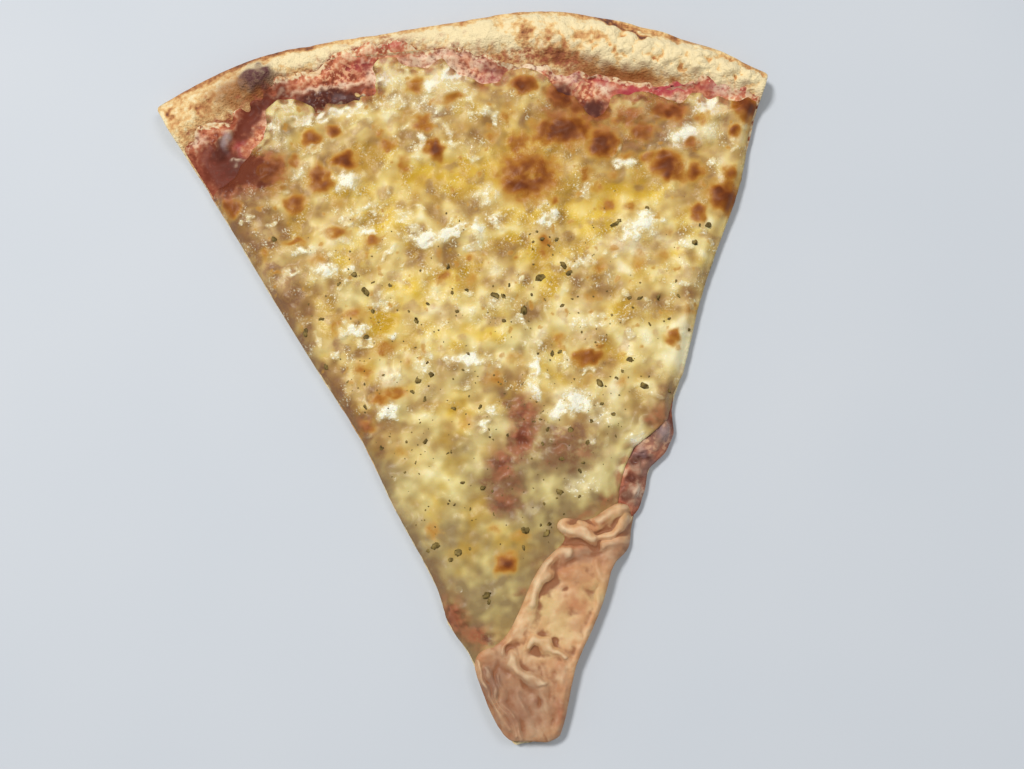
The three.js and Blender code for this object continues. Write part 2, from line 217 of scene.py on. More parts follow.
def from_cuts(patch):
    """How far each point is inside the left cut, and inside the right one."""
    left, right = (math.radians(angle) for angle in CUTS)
    from_left = patch.X * math.cos(left) - patch.Y * math.sin(left)
    from_right = patch.Y * math.sin(right) - patch.X * math.cos(right)
    return from_left, from_right


# %% [markdown]
# Food is random at every size, so the relief starts as grain: random numbers softened twice, the one
# taken from the other, which leaves lumps of one size. Grain with its hollows turned up makes pillows with
# sharp valleys between them, as puffed dough has. The seeds keep it the same in every run.

# %% Grain
def grain(patch, size, seed):
    """Random lumps about size mm across, about 0 with a spread of 1."""
    numbers = np.random.default_rng(seed).standard_normal(patch.X.shape)
    band = blur(numbers, size / 4, patch.step) - blur(numbers, size / 2.2, patch.step)
    return band / band.std()


def pillows(patch, size, seed):
    """Round lumps with creases between them, from 0 in the creases up to about 1."""
    return np.minimum(np.abs(grain(patch, 1.6 * size, seed)) / 1.6, 1.3)


def shaken(patch, reach, size, seed):
    """The patch with its places shifted at random, so that what is drawn on it has ragged edges."""
    shifted = SimpleNamespace(**vars(patch))
    shifted.X = patch.X + reach * grain(patch, size, seed)
    shifted.Y = patch.Y + reach * grain(patch, size, seed + 1)
    return shifted


# %% [markdown]
# What has a place of its own, such as a blister or a fold, is a spot or a line: a soft oval, or a soft
# band through some points. Drawn on a shaken patch, it gets the ragged edge of real food.

# %% Spots and lines
def spot(patch, x, y, length, width=None, turn=0.0, edge=1.3):
    """1 at (x, y), down to a third at the rim of an oval of that length and width, turned in degrees."""
    c, s = math.cos(math.radians(turn)), math.sin(math.radians(turn))
    across, up = patch.X - x, patch.Y - y
    u = (across * c + up * s) / (length / 2)
    v = (up * c - across * s) / ((width or length) / 2)
    return np.exp(-((u * u + v * v) ** edge))


def spots(patch, rows, edge=1.3):
    """The highest of several spots: each row is (strength, x, y, length, width, turn).

    A round spot needs no width, and one that isn't turned needs no turn."""
    field = np.zeros(patch.X.shape)
    for strength, *where in rows:
        field = np.maximum(field, strength * spot(patch, *where, edge=edge))
    return field


def distance_to_line(patch, points):
    away = np.full(patch.X.shape, np.inf)
    for (ax, ay), (bx, by) in zip(points, points[1:]):
        dx, dy = bx - ax, by - ay
        t = np.clip(((patch.X - ax) * dx + (patch.Y - ay) * dy) / (dx * dx + dy * dy), 0, 1)
        away = np.minimum(away, np.hypot(patch.X - ax - t * dx, patch.Y - ay - t * dy))
    return away


def line(patch, width, *points, edge=1.0):
    """1 along a line through the points, falling to a third at half its width to each side."""
    return np.exp(-((distance_to_line(patch, points) / (width / 2)) ** (2 * edge)))


# %% [markdown]
# The cuts are clean, but nothing cut the sauce and the cheese towards the rim: there they ran and tore as
# they liked. So on that side their outlines are read at shaken places, which frays them by a few
# millimetres, and the distances inside them are measured again.

# %% Fray the sauce and the cheese
def uncut(patch):
    """1 well away from both cuts in the rim half, and 0 at the cuts."""
    return smoothstep(1.5, 5.0, np.minimum(*from_cuts(patch))) * smoothstep(150, 175, patch.Y)


def fray(patch, seed):
    loose = uncut(patch)
    wide, narrow = shaken(patch, 1.1, 13.0, seed), shaken(patch, 0.42, 5.0, seed + 2)
    x = patch.X + loose * (wide.X + narrow.X - 2 * patch.X)
    y = patch.Y + loose * (wide.Y + narrow.Y - 2 * patch.Y)
    patch.level = sample(patch, patch.level, x, y)
    patch.depth = distance_inside(patch)


fray(sauce, 11)
fray(cheese, 15)
print("frayed the sauce and the cheese at the rim side")

# %% [markdown]
# A layer's mesh starts as a grid over the patch. Points outside the outline go, and the ragged border that
# is left is drawn onto the smooth outline, by stepping along the slope of the level until it is one half.

# %% A grid trimmed to the outline
SNAP_ROUNDS = 3


def places(verts):
    return np.array([v.co.x for v in verts]), np.array([v.co.y for v in verts])


def set_heights(verts, patch, field):
    for v, z in zip(verts, sample(patch, field, *places(verts))):
        v.co.z = z


def grid_over(bm, patch, step):
    width, height = np.ptp(patch.X), np.ptp(patch.Y)
    columns, rows = (max(1, round(span / step)) for span in (width, height))
    made = bmesh.ops.create_grid(bm, x_segments=columns, y_segments=rows, size=0.5)["verts"]
    middle = Vector((patch.west + width / 2, patch.south + height / 2, 0))
    fit = Matrix.Translation(middle) @ Matrix.Diagonal((width, height, 1, 1))
    bmesh.ops.transform(bm, matrix=fit, verts=made)
    return made


def open_edges(verts):
    """The edges with a face on one side only, each once."""
    return list(dict.fromkeys(e for v in verts for e in v.link_edges if e.is_boundary))


def trim(bm, verts, gone):
    """Takes points away, with whatever is then left hanging by an edge or by one point."""
    bmesh.ops.delete(bm, geom=[v for v, g in zip(verts, gone) if g], context="VERTS")
    kept = [v for v in verts if v.is_valid]
    while True:
        loose = [v for v in kept if not v.link_faces or sum(e.is_boundary for e in v.link_edges) > 2]
        if not loose:
            break
        bmesh.ops.delete(bm, geom=loose, context="VERTS")
        kept = [v for v in kept if v.is_valid]
    bare = [e for v in kept for e in v.link_edges if not e.link_faces]
    bmesh.ops.delete(bm, geom=list(dict.fromkeys(bare)), context="EDGES")
    return [v for v in kept if v.is_valid]


def snap_to_outline(bm, patch, ring):
    slope_y, slope_x = np.gradient(patch.level, patch.step)
    for _ in range(SNAP_ROUNDS):
        x, y = places(ring)
        gx, gy = sample(patch, slope_x, x, y), sample(patch, slope_y, x, y)
        push = (0.5 - sample(patch, patch.level, x, y)) / np.maximum(gx * gx + gy * gy, 1e-4)
        limit = 0.8 * patch.step / np.maximum(np.hypot(gx, gy), 1e-4)
        push = np.clip(push, -limit, limit)
        for v, dx, dy in zip(ring, push * gx, push * gy):
            v.co.x += dx
            v.co.y += dy
    bmesh.ops.remove_doubles(bm, verts=ring, dist=0.3 * patch.step)


# %% [markdown]
# The border is extruded down, row by row, as the cut side. The underside is a coarse grid, joined to the
# fine edge by a triangle fill, and what another layer covers is opened and filled in the same way. That
# keeps the triangles for what shows, and the mesh still closes, as a solid thing's mesh should.

# %% Close a loop of edges with a coarse grid
COARSE = 3.0  # mm between the points of what doesn't show
COVER = 4.0  # mm in from the outline, where a skin may open under another layer
ON_TOP, UNDER = 0.0, 2.0  # the values of "down" there: on the cut side it runs from 0 to 1


def inside_loops(edges, x, y):
    """Whether each place is inside the loops, by how many of their edges lie straight east of it."""
    crossings = np.zeros(len(x), int)
    for e in edges:
        (ax, ay, _), (bx, by, _) = (v.co for v in e.verts)
        if ay != by:
            spans = (ay > y) != (by > y)
            crossings += spans & (x < ax + (bx - ax) * (y - ay) / (by - ay))
    return crossings % 2 == 1


def close_with_coarse(bm, patch, edges, field, down, value):
    inner = grid_over(bm, patch, COARSE)
    x, y = places(inner)
    border = [(v.co.x, v.co.y) for e in edges for v in e.verts]
    away = nearest(border, zip(x.tolist(), y.tolist()))
    inner = trim(bm, inner, (away < 0.9 * COARSE) | ~inside_loops(edges, x, y))
    set_heights(inner, patch, field)
    for v in inner:
        v[down] = value
    loops = list(edges) + open_edges(inner)
    bmesh.ops.triangle_fill(bm, use_beauty=True, edges=loops, normal=(0, 0, 1))


# %% A closed skin between two height fields
def make_skin(name, patch, top, bottom, rows, hidden=None):
    bm = bmesh.new()
    down = bm.verts.layers.float.new("down")
    skin = grid_over(bm, patch, patch.step)
    x, y = places(skin)
    gone = sample(patch, patch.level, x, y) < 0.5
    if hidden is not None:
        covered = hidden & (patch.depth > COVER)
        gone |= sample(patch, covered.astype(float), x, y) > 0.5
    skin = trim(bm, skin, gone)
    near = list(dict.fromkeys(v for e in open_edges(skin) for v in e.verts))
    outline = sample(patch, patch.depth, *places(near)) < 2 * patch.step
    snap_to_outline(bm, patch, [v for v, here in zip(near, outline) if here])
    skin = [v for v in skin if v.is_valid]
    set_heights(skin, patch, top)
    border = open_edges(skin)
    at_edge = sample(patch, patch.depth, *places([e.verts[0] for e in border])) < 2 * patch.step
    outer = [e for e, here in zip(border, at_edge) if here]
    covered = [e for e, here in zip(border, at_edge) if not here]
    if covered:
        close_with_coarse(bm, patch, covered, top, down, ON_TOP)
    for row in range(1, rows + 1):
        made = bmesh.ops.extrude_edge_only(bm, edges=outer)["geom"]
        lower = [g for g in made if isinstance(g, bmesh.types.BMVert)]
        set_heights(lower, patch, mix(top, bottom, row / rows))
        for v in lower:
            v[down] = row / rows
        outer = [g for g in made if isinstance(g, bmesh.types.BMEdge) and g.is_boundary]
    close_with_coarse(bm, patch, outer, bottom, down, UNDER)
    bmesh.ops.recalc_face_normals(bm, faces=bm.faces)
    leaks = sum(not e.is_manifold for e in bm.edges)
    piece = object_of(name, bm)
    triangles = sum(len(p.vertices) - 2 for p in piece.data.polygons)
    print(f"{name}: {triangles} triangles, {leaks} open edges")
    return piece


def object_of(name, bm):
    mesh = bpy.data.meshes.new(name)
    bm.to_mesh(mesh)
    bm.free()
    piece = bpy.data.objects.new(name, mesh)
    bpy.context.scene.collection.objects.link(piece)
    return piece


# %% [markdown]
# The fields that the colours need, such as how browned each point is, are kept on the mesh as attributes,
# which a material reads at any point of the surface. A finished piece goes to the frame's metres, with
# its object left at the origin, as the CAD pieces are.

# %% Attributes, places and the last step of every piece
def point_array(piece):
    flat = np.empty(len(piece.data.vertices) * 3)
    piece.data.vertices.foreach_get("co", flat)
    return flat.reshape(-1, 3)


def set_points(piece, points):
    piece.data.vertices.foreach_set("co", points.ravel())
    piece.data.update()


def read_down(piece):
    down = np.empty(len(piece.data.vertices), np.float32)
    piece.data.attributes["down"].data.foreach_get("value", down)
    return down


def paint(piece, patch, **fields):
    """Keeps fields of the patch on the piece's points, for its material to read."""
    x, y, _ = point_array(piece).T
    for name, field in fields.items():
        attribute = piece.data.attributes.new(name, "FLOAT", "POINT")
        attribute.data.foreach_set("value", sample(patch, field, x, y).astype(np.float32))


def serve(piece, material, slot, *nodes):
    piece.data.transform(TO_FRAME)
    piece.data.shade_smooth()
    piece.data.materials.append(material)
    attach(piece, "root")
    if nodes:
        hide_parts(*nodes)


# %% [markdown]
# A material is a graph of nodes. Written out node by node it is long and hard to follow, so a small class
# adds one node a call and returns its output, which lets a finish be read as a recipe: a first colour, and
# the coats that lie over it. Sizes are in millimetres of the real thing, on Object coordinates, so the
# grain is the same size on every piece.

# %% A finish as a recipe
class Finish:
    def __init__(self, name):
        self.material = bpy.data.materials.new(name)
        self.material.use_nodes = True
        self.nodes = self.material.node_tree.nodes
        self.shader = self.nodes["Principled BSDF"]
        self.place = self.add("TexCoord").outputs["Object"]
        self.colour = None

    def add(self, kind, **settings):
        node = self.nodes.new("ShaderNode" + kind)
        for key, value in settings.items():
            setattr(node, key, value)
        return node

    def plug(self, value, socket):
        if isinstance(value, bpy.types.NodeSocket):
            self.material.node_tree.links.new(value, socket)
        else:
            socket.default_value = value

    def field(self, name):
        """What the piece's points say, from its attribute of that name."""
        return self.add("Attribute", attribute_name=name).outputs["Fac"]

    def speckle(self, size, detail=1.0):
        """Random light and dark, about size mm across, from 0 to 1 with 0.5 the commonest."""
        node = self.add("TexNoise")
        self.plug(self.place, node.inputs["Vector"])
        node.inputs["Scale"].default_value = 1 / (1.6 * size * MM)
        node.inputs["Detail"].default_value = detail
        return node.outputs["Fac"]

    def math(self, operation, a, b=0.0):
        node = self.add("Math", operation=operation)
        self.plug(a, node.inputs[0])
        self.plug(b, node.inputs[1])
        return node.outputs[0]

    def spread(self, value, width):
        """A speckle as a number about 0, from -width / 2 to width / 2."""
        return self.math("MULTIPLY", self.math("SUBTRACT", value, 0.5), width)

    def plus(self, *values):
        total = values[0]
        for value in values[1:]:
            total = self.math("ADD", total, value)
        return total

    def times(self, a, b):
        return self.math("MULTIPLY", a, b)

    def remap(self, value, low, high, to_low=0.0, to_high=1.0):
        """Carries low..high smoothly to to_low..to_high, and stays there beyond them."""
        node = self.add("MapRange", interpolation_type="SMOOTHSTEP")
        for socket, given in zip(node.inputs, (value, low, high, to_low, to_high)):
            self.plug(given, socket)
        return node.outputs[0]

    def blend(self, under, over, share):
        node = self.add("Mix", data_type="RGBA")
        self.plug(share, node.inputs[0])
        self.plug(under, node.inputs[6])
        self.plug(over, node.inputs[7])
        return node.outputs[2]

    def ramp(self, value, *stops):
        """A colour that changes with value: each stop is (value, red, green, blue)."""
        node = self.add("ValToRGB")
        elements = node.color_ramp.elements
        while len(elements) < len(stops):
            elements.new(0.5)
        for element, (position, *colour) in zip(elements, stops):
            element.position = position
            element.color = rgb(*colour)
        self.plug(value, node.inputs[0])
        return node.outputs[0]

    def coat(self, colour, share):
        """Lays a colour over what is there, all over where share is 1 and not at all where it is 0."""
        self.colour = self.blend(self.colour, colour, share)

    def finish(self, roughness, height, **sockets):
        """Roughness and a bump of up to height mm go in, with the colour and the shader's plain settings."""
        self.plug(self.colour, self.shader.inputs["Base Color"])
        self.plug(roughness, self.shader.inputs["Roughness"])
        bump = self.add("Bump")
        bump.inputs["Distance"].default_value = MM
        self.plug(height, bump.inputs["Height"])
        self.plug(bump.outputs["Normal"], self.shader.inputs["Normal"])
        for name, value in sockets.items():
            self.shader.inputs[name.replace("_", " ")].default_value = value
        return self.material


def rgb(red, green, blue):
    return (red, green, blue, 1.0)


# %% [markdown]
# The rim of a pizza is dough that puffed in the oven. Where it touched nothing it is pale and dry, where
# it rose highest it toasted, and thin bubbles charred. The right part burst its skin and has a knobbly,
# cauliflower-like ridge. Dough is softer than any mesh tool's edge, so its forms are drawn as spots and
# lines on the patch: each raises the surface or browns it, or both. The rim stands well above the cheese,
# so to an eye above the slice its features spread outwards by about a hundredth. The lists are written as
# the eye has them, and the patch that they are drawn on is spread in the same way.

# %% The crust's features
EYE = (-2.5, 71.8, 422.0)  # a place above the slice, in mm
LEVEL = 6.0  # the height at which the lists hold as they are
CRUST_TOAST = (  # strength, x, y, length, width, turn
    (0.34, -80, 208, 42, 16, 24), (0.62, -84, 206.5, 5), (0.6, -74, 202, 10, 8), (0.75, -92, 206.5, 4, 6),
    (0.5, -88, 199, 14, 5, -60), (0.5, -80, 210, 10, 4, 30), (0.65, 25, 214, 14, 9),
    (0.75, 16, 221, 6, 9, 10), (0.35, 35, 218, 14, 7, -10), (0.6, -17, 217, 5, 8),
    (0.30, -30, 222.5, 20, 5, 8), (0.30, -52, 216, 20, 6, 10), (0.5, 8, 214, 12, 4, -20), (0.4, 24, 219, 8),
    (0.3, -6, 218, 12, 5), (0.45, -84, 214, 14, 4, 28), (0.3, -90, 212, 10, 6, 40),
)
# the rows from x 27 to 58 lie on the slope below the creamy ridge and are partly painted shade of that slope
AMBER = (
    (0.9, -72.5, 211.5, 17, 10, 20), (1.15, -64, 210, 18, 8, 10), (1.0, -58, 212, 7, 8),
    (0.9, 34, 206.5, 16, 6, -14), (1.0, 46, 204, 20, 7, -4), (0.9, 41, 206, 10, 6, -30),
    (0.5, 58, 203, 10, 3), (0.5, 5, 216, 10, 4, -10), (0.55, 27, 212, 12, 5, -10), (0.7, 34, 210, 9, 6),
    (0.5, -66, 205, 14, 4, 40), (0.5, -80, 201, 8, 6),
)
CRUST_CHAR = (
    (1.2, -65.2, 215.2, 10.5, 7.0, 4), (0.9, -76.5, 196, 9, 4, 78),
)
CRUST_SAUCY = (
    (0.9, -38, 215, 20, 7, 10), (0.8, -25, 221, 14, 6, 5), (0.8, -17, 216.5, 5, 8),
    (0.7, -8, 217, 12, 5, -10), (0.9, -74, 189, 13, 22, -38), (0.9, -68.5, 203, 6, 14, -32),
    (0.75, -50, 212.5, 18, 4, 8), (0.6, 8, 213.5, 12, 4, -15), (0.8, -80, 194, 9), (0.5, -82, 198, 6, 5),
    (0.5, 20, 212, 8, 3, -10), (0.9, 16, 214, 20, 5), (0.8, 28, 211, 12, 5, -10), (0.35, 22, 217, 14, 5),
)
BULGE = ((28, 217), (40, 214), (56, 210.5), (72, 206.5), (84, 202.5))
CREAM_RIDGE = ((43, 216), (48, 212), (56, 208.5), (64, 206.5), (72, 204.5), (82, 200))
INNER_SLOPE = ((31, 211), (38, 207), (46, 204.5), (58, 203))
OUTER_SLOPE = ((46, 221.5), (60, 216), (74, 211), (87, 205))
CREASE = ((39, 223.5), (46, 220), (52, 216))

crust_left, crust_right = from_cuts(crust)
crust_cut = np.minimum(crust_left, crust_right)
from_rim = np.where(crust_cut > crust.depth + 1.5, crust.depth, 30.0)
spreading = (EYE[2] - LEVEL) / (EYE[2] - blur(crust.top, 2.0, crust.step))
seen = SimpleNamespace(**vars(crust))
seen.X = EYE[0] + (crust.X - EYE[0]) * spreading
seen.Y = EYE[1] + (crust.Y - EYE[1]) * spreading
ragged = shaken(seen, 0.5, 3.5, 3)
knobbly = line(seen, 15, *BULGE)
cream_ridge = line(shaken(seen, 0.8, 5, 26), 6.0, *CREAM_RIDGE)
amber = np.clip(spots(ragged, AMBER, edge=1.4), 0, 1)
crust_char = np.clip(spots(ragged, CRUST_CHAR, edge=2.2), 0, 1)
print(f"the rim is {np.max(crust.top):.1f} mm high")

# %% [markdown]
# The crust's relief is added up: crumples and a fine dry pebbling all over, knobs on the burst part, the
# two slopes that fall away from it, its creamy ridge and crease, and the two charred bubbles. A soft limit
# keeps the knobs within the rim's height.

# %% The crust's relief
RIM_HEIGHT = 12.0
LIMIT_SOFTNESS = 2.0  # mm below the rim's height where the limit begins
dry = 1 - np.clip(amber + crust_char, 0, 1)
on_rim = smoothstep(1.5, 4.5, crust.top - 2.8)
crust_relief = 0.25 * grain(crust, 9, 21) + (0.14 * grain(crust, 4, 22) + 0.10 * grain(crust, 1.5, 23)) * dry
crust_relief = on_rim * crust_relief + knobbly * dry * (
    0.85 * pillows(crust, 4.5, 24) + 0.75 * pillows(crust, 2.1, 25) - 0.75
)
crust_relief -= line(shaken(seen, 0.8, 5, 29), 5.5, *INNER_SLOPE) + 0.5 * line(ragged, 5.0, *OUTER_SLOPE)
crust_relief += cream_ridge * (1.2 * pillows(crust, 2.2, 28) + 1.5 * pillows(crust, 3.6, 30) - 1.3)
crust_relief -= 0.9 * line(ragged, 1.5, *CREASE)
crust_relief += 1.2 * crust_char + 0.3 * spots(ragged, CRUST_TOAST) * grain(crust, 3, 27) - 0.3 * amber
crust_relief -= 0.15 * np.exp(-((from_rim / 1.2) ** 2))
crust_top = crust.top + crust_relief * smoothstep(0.0, 1.0, crust.depth)
over = np.clip(crust_top - (RIM_HEIGHT - LIMIT_SOFTNESS), 0, None)
crust_top += LIMIT_SOFTNESS * np.tanh(over / LIMIT_SOFTNESS) - over
crust_bottom = np.clip(crust.bottom, 0.0, None)
print(f"with its relief it is {np.max(crust_top):.1f} mm high")

# %% [markdown]
# The sauce lies on the dough with no real thickness at its edge, so its top is the dough's top plus a
# film that thins to nothing there. It was baked to a wrinkled, gritty skin, with darker blisters. On the
# right cut it bulges out in knots.

# %% The sauce's relief
SAUCE_CHAR = (
    (1.3, -46, 207, 18, 7, 6), (1.1, -38, 206.4, 9, 4.5), (0.9, -78, 195, 6, 9, -10),
    (0.6, -73, 188, 12, 6, -20), (0.6, -66, 207, 9, 4, 40), (1.1, 25, 200.5, 8), (1.0, 35, 196, 8, 6),
    (0.5, 9.5, 212, 6, 5), (0.6, 29, 197, 6, 5), (0.6, 31, 206, 5, 3, -30), (0.5, 8, 211, 7, 4),
    (0.9, 41, 99, 7), (1.0, 37, 90, 8, 3, 10), (0.8, 35, 84, 7, 2.5), (0.6, 47, 101, 4, 6),
    (0.7, 31.8, 79.5, 3, 6), (0.6, 57, 196, 10, 3), (0.5, -10, 214, 8, 3, 10), (0.6, 40, 104, 7, 4),
)
SAUCE_MAROON = (
    (1.3, -76, 187, 24, 15, -35), (1.3, -69, 203, 7, 18, -35), (1.2, -61, 208.5, 14, 5, 20),
    (0.9, -82, 193, 6, 9, 20), (0.8, -53, 206, 6, 8), (0.7, -36, 209, 12, 3, 5), (0.9, 25.5, 200, 9, 11),
    (0.9, 35, 196, 8, 7), (0.6, 4, 211.5, 9, 4, -25), (0.5, -18, 215, 5, 7),
)
SAUCE_DULL = (
    (1.0, 43, 96, 12), (1.0, 38, 88, 12, 12, -30), (1.0, 34, 80, 9), (0.8, 42, 103, 10, 8),
)
SAUCE_BRIGHT = (
    (1.0, 46, 199.8, 12, 5, -15), (1.0, 58, 200.2, 20, 4), (0.9, 72, 198.5, 12, 4, -12),
    (0.8, 38, 203.6, 8, 4, -35), (0.5, -34, 216, 12, 4, 8), (0.6, 5, 211, 9, 3, -30),
    (0.5, 10, 208.5, 8, 3, -10), (0.8, -72.5, 195, 2.6, 10), (0.9, 29, 206.5, 10, 5, -30),
    (0.5, -24, 221, 10, 4), (0.4, 80, 196, 6, 3, -20), (0.8, -78, 188, 14, 9, -40), (0.6, 5, 208, 10, 4),
)
SAUCE_GRAINY = (
    (1.0, 31, 202, 12, 8, -20), (0.8, -42, 214, 16, 7, 10), (0.7, -17, 214, 8, 7), (0.7, -65, 197, 7, 10),
    (0.7, 62, 195, 14, 4), (0.6, 20, 206, 8, 5), (0.7, 40.5, 95, 3, 5), (0.6, 46, 95, 4, 8),
    (0.7, -83, 195, 7, 9, 20), (0.6, 0, 212, 14, 5, -20), (0.6, -27, 217, 8, 5), (0.5, 49, 196, 12, 4),
)
# mostly pale films of fat; the rows on the knots at the right cut and the thin one at x -73.5 are painted
# highlights
SAUCE_PALE = (
    (0.9, 17, 210.5, 10, 2.6, -12), (0.8, -29, 213, 8, 5, 10), (0.9, 38.5, 202, 5, 4, -15),
    (0.7, -44, 210.6, 26, 1.6, 3), (0.6, -22, 216, 4, 3), (0.7, 0, 213, 5, 2, -30),
    (0.6, -31, 218.5, 6, 1.2, 35), (0.6, 36, 81, 3.5, 4), (0.4, 60, 197, 12, 2.5),
    (0.7, 74, 198, 8, 4, -10), (1.0, -7, 211.5, 9, 6), (0.4, 3.5, 207.6, 12, 4.5), (0.8, -3, 209.5, 6, 4),
    (0.5, 2, 213.5, 8, 3, -20), (0.7, 27, 207, 7, 4, -20), (0.5, -58, 213, 4, 2), (0.7, -63, 199, 3, 8, 10),
    (0.6, -73.5, 190.5, 3, 1.4), (0.5, -84, 198, 4, 3), (0.8, -12, 216, 20, 4), (0.7, -24, 215, 8, 5),
    (0.7, 47, 196.5, 12, 2.2), (0.8, 37.5, 95.5, 3, 4, 30),
)
# painted highlights: greyish patches for the sheen of the light on a glossy bubble and on the knots
GLOSS_HIGHLIGHTS = (
    (1.0, -76.3, 197, 2.2, 6, -6), (1.0, 44.5, 96.8, 4.5, 4), (0.5, -41, 207, 5, 2), (0.6, 37.5, 92, 5, 3),
    (0.5, 41, 86, 4, 5, -20),
)
KNOTS = (
    (1.8, 44.5, 97, 6), (1.4, 40.5, 102, 7, 5), (2.0, 34.4, 80.3, 5.5), (1.2, 35.5, 88, 3.5, 6, 10),
    (1.0, 40.5, 86, 5, 7, -25), (1.0, 46.5, 92, 4), (-1.2, 38, 91.5, 8, 1.8, 10), (-1.2, 35, 84.4, 6, 1.6),
    (-0.8, 41.5, 99.5, 7, 1.6, -30), (0.8, 32.5, 86.5, 4), (-0.7, 39, 81, 3, 4), (1.0, 38, 95, 4),
)
SAUCE_SINKS = 0.35  # mm that the sauce goes into the dough
ragged = shaken(sauce, 0.5, 3.0, 33)
sauce_char = np.clip(spots(ragged, SAUCE_CHAR, edge=1.6), 0, 1)
sauce_maroon = np.clip(spots(ragged, SAUCE_MAROON, edge=1.6), 0, 1)
sauce_dull = spots(ragged, SAUCE_DULL)
sauce_bright = spots(ragged, SAUCE_BRIGHT)
sauce_grainy = spots(ragged, SAUCE_GRAINY) * (1 - 0.8 * sauce_maroon)
sauce_pale = spots(ragged, SAUCE_PALE)
knots = sum(height * spot(ragged, *where) for height, *where in KNOTS)
dough_under = onto(sauce, crust, crust_top)
film = smoothstep(-0.2, 3.0, sauce.depth) * np.clip(sauce.top - onto(sauce, crust, crust.top), 0.2, None)
wrinkles = 0.16 * grain(sauce, 3.0, 31) + (0.05 + 0.10 * sauce_grainy) * grain(sauce, 1.4, 32)
sauce_relief = wrinkles * (1 - 0.92 * sauce_maroon) + 0.35 * sauce_char + 0.4 * sauce_pale
rough = np.clip(sauce_char + sauce_grainy - sauce_maroon, 0, 1)
sauce_relief += 0.35 * pillows(sauce, 3.5, 34) * rough + knots
sauce_top = dough_under + film + sauce_relief * smoothstep(0.0, 2.0, sauce.depth)
sauce_bottom = dough_under - SAUCE_SINKS
print(f"the sauce is up to {np.max((sauce_top - dough_under)[sauce.depth > 3]):.1f} mm thick")

# %% [markdown]
# Melted cheese is the piece that everyone looks at. It browned in blisters, darkest in the middle with a
# soft edge, from a faint orange freckle to a dark brown dome. Each has its own row, strongest where the
# oven was hottest, near the rim.

# %% Where the cheese browned
BROWNED = (  # strength, x, y, length, width, turn
    (1.0, -63.5, 186, 10, 8, 30), (0.75, -76, 176, 6, 7, 10), (0.72, -57, 175.5, 7, 7, -10),
    (0.75, -50.5, 194.5, 7, 6), (0.45, 30, 193, 19, 12), (0.5, 44, 192, 12, 7), (0.55, 58, 172.5, 8, 6),
    (0.7, -43.5, 196.5, 6, 4.5), (0.95, -41, 187, 8, 6, -10), (0.8, -49, 182, 8, 9, 10),
    (0.5, -56, 188, 5, 4), (0.35, -60.5, 180, 4, 3), (0.3, -44, 174, 5, 4), (0.55, -28, 190.5, 6, 5),
    (0.5, -24, 184, 5), (0.9, -14, 187.5, 6, 6.5), (0.6, -17, 196, 7), (0.5, -7.5, 203, 9, 3.5, 10),
    (0.55, -18, 208, 6), (0.6, 1.5, 208.5, 4, 6, 20), (0.95, 14.5, 205, 8.5, 6, -10),
    (0.42, 3, 190, 6, 4, -20), (0.4, -30, 194, 4), (0.5, -57.5, 163.8, 8, 2.5, -5), (0.5, -45, 165, 9, 5),
    (0.4, -64.5, 155.3, 5, 2, 10), (0.45, -67.5, 161, 4), (0.55, -34.5, 162, 6, 4),
    (0.35, -52, 158, 6, 5, 30), (0.3, -40, 168.5, 6, 2), (0.80, 13, 177, 19, 16), (0.9, 10, 174.5, 10, 7),
    (0.55, 11, 187, 9), (0.5, 18, 188, 9, 8), (0.5, 8, 181.5, 8, 7), (1.0, 25, 190, 18, 10, -5),
    (1.0, 25, 200.5, 8, 9, 20), (0.95, 36, 195, 7, 6), (0.7, 30, 197, 6), (1.0, 36, 184.5, 10, 9.5),
    (1.0, 54.5, 176, 10, 9, -30), (0.6, 49, 179, 6, 5), (0.72, 48.5, 187, 9, 6), (1.0, 57, 192.5, 10, 6),
    (0.7, 62.5, 173, 7), (1.0, 70.5, 165, 10), (0.6, 73, 171.5, 6), (1.0, 80, 191.5, 8, 9),
    (0.7, 76, 184.5, 4.5, 5), (0.72, 62, 161, 5.5, 6, 20), (0.5, 62, 182, 5, 3), (0.4, 43, 180, 6, 4),
    (0.5, 36, 166, 6, 5), (0.45, 42.5, 164.5, 6, 4), (0.5, 30, 176, 5), (0.4, 33, 171.5, 5, 4),
    (0.45, 20, 168.5, 5, 4, 20), (0.4, 38, 175, 6, 4), (0.5, 15.5, 155, 5, 8), (0.45, -15, 149, 6, 4),
    (0.35, -7, 147.5, 4), (0.42, 31, 147.5, 6, 4, 40), (0.3, 28, 139, 6, 5), (0.4, -7, 154.5, 3),
    (0.35, -15.5, 156, 3, 5), (0.45, 7, 152.5, 3, 2.5), (0.42, -43, 140.5, 11, 5, 5),
    (0.38, -48, 137, 3, 6, -10), (0.42, -34, 129.5, 9, 5, 15), (0.45, -41, 123.5, 7, 6),
    (0.3, -28, 124.5, 5), (0.74, 25, 121, 10, 5.5), (0.5, 28.5, 124, 5, 3, -20), (0.6, 50, 124.5, 5.5, 5),
    (0.35, 56, 132, 5, 4), (0.3, 52, 156, 5), (0.35, 50.5, 149, 5), (0.38, 43, 148, 5, 8, -20),
    (0.3, 34, 113, 6, 5), (0.4, 17, 127, 5), (0.3, 3, 123, 6, 5), (0.6, -37, 114.5, 6, 4),
    (0.5, -33, 116, 11, 4), (0.5, -42, 107, 6, 5, 30), (0.3, -32, 98.5, 6, 5), (0.38, -25, 75, 5, 6),
    (0.85, -5, 63.5, 7, 6.5), (0.4, -7, 73.5, 5), (0.3, 0, 71, 8, 4), (0.4, -3, 117, 7, 6),
    (0.35, -13, 105.5, 5), (0.45, 66, 189, 6, 5), (0.4, 8, 196, 6, 4),
)
print(len(BROWNED), "browned places")
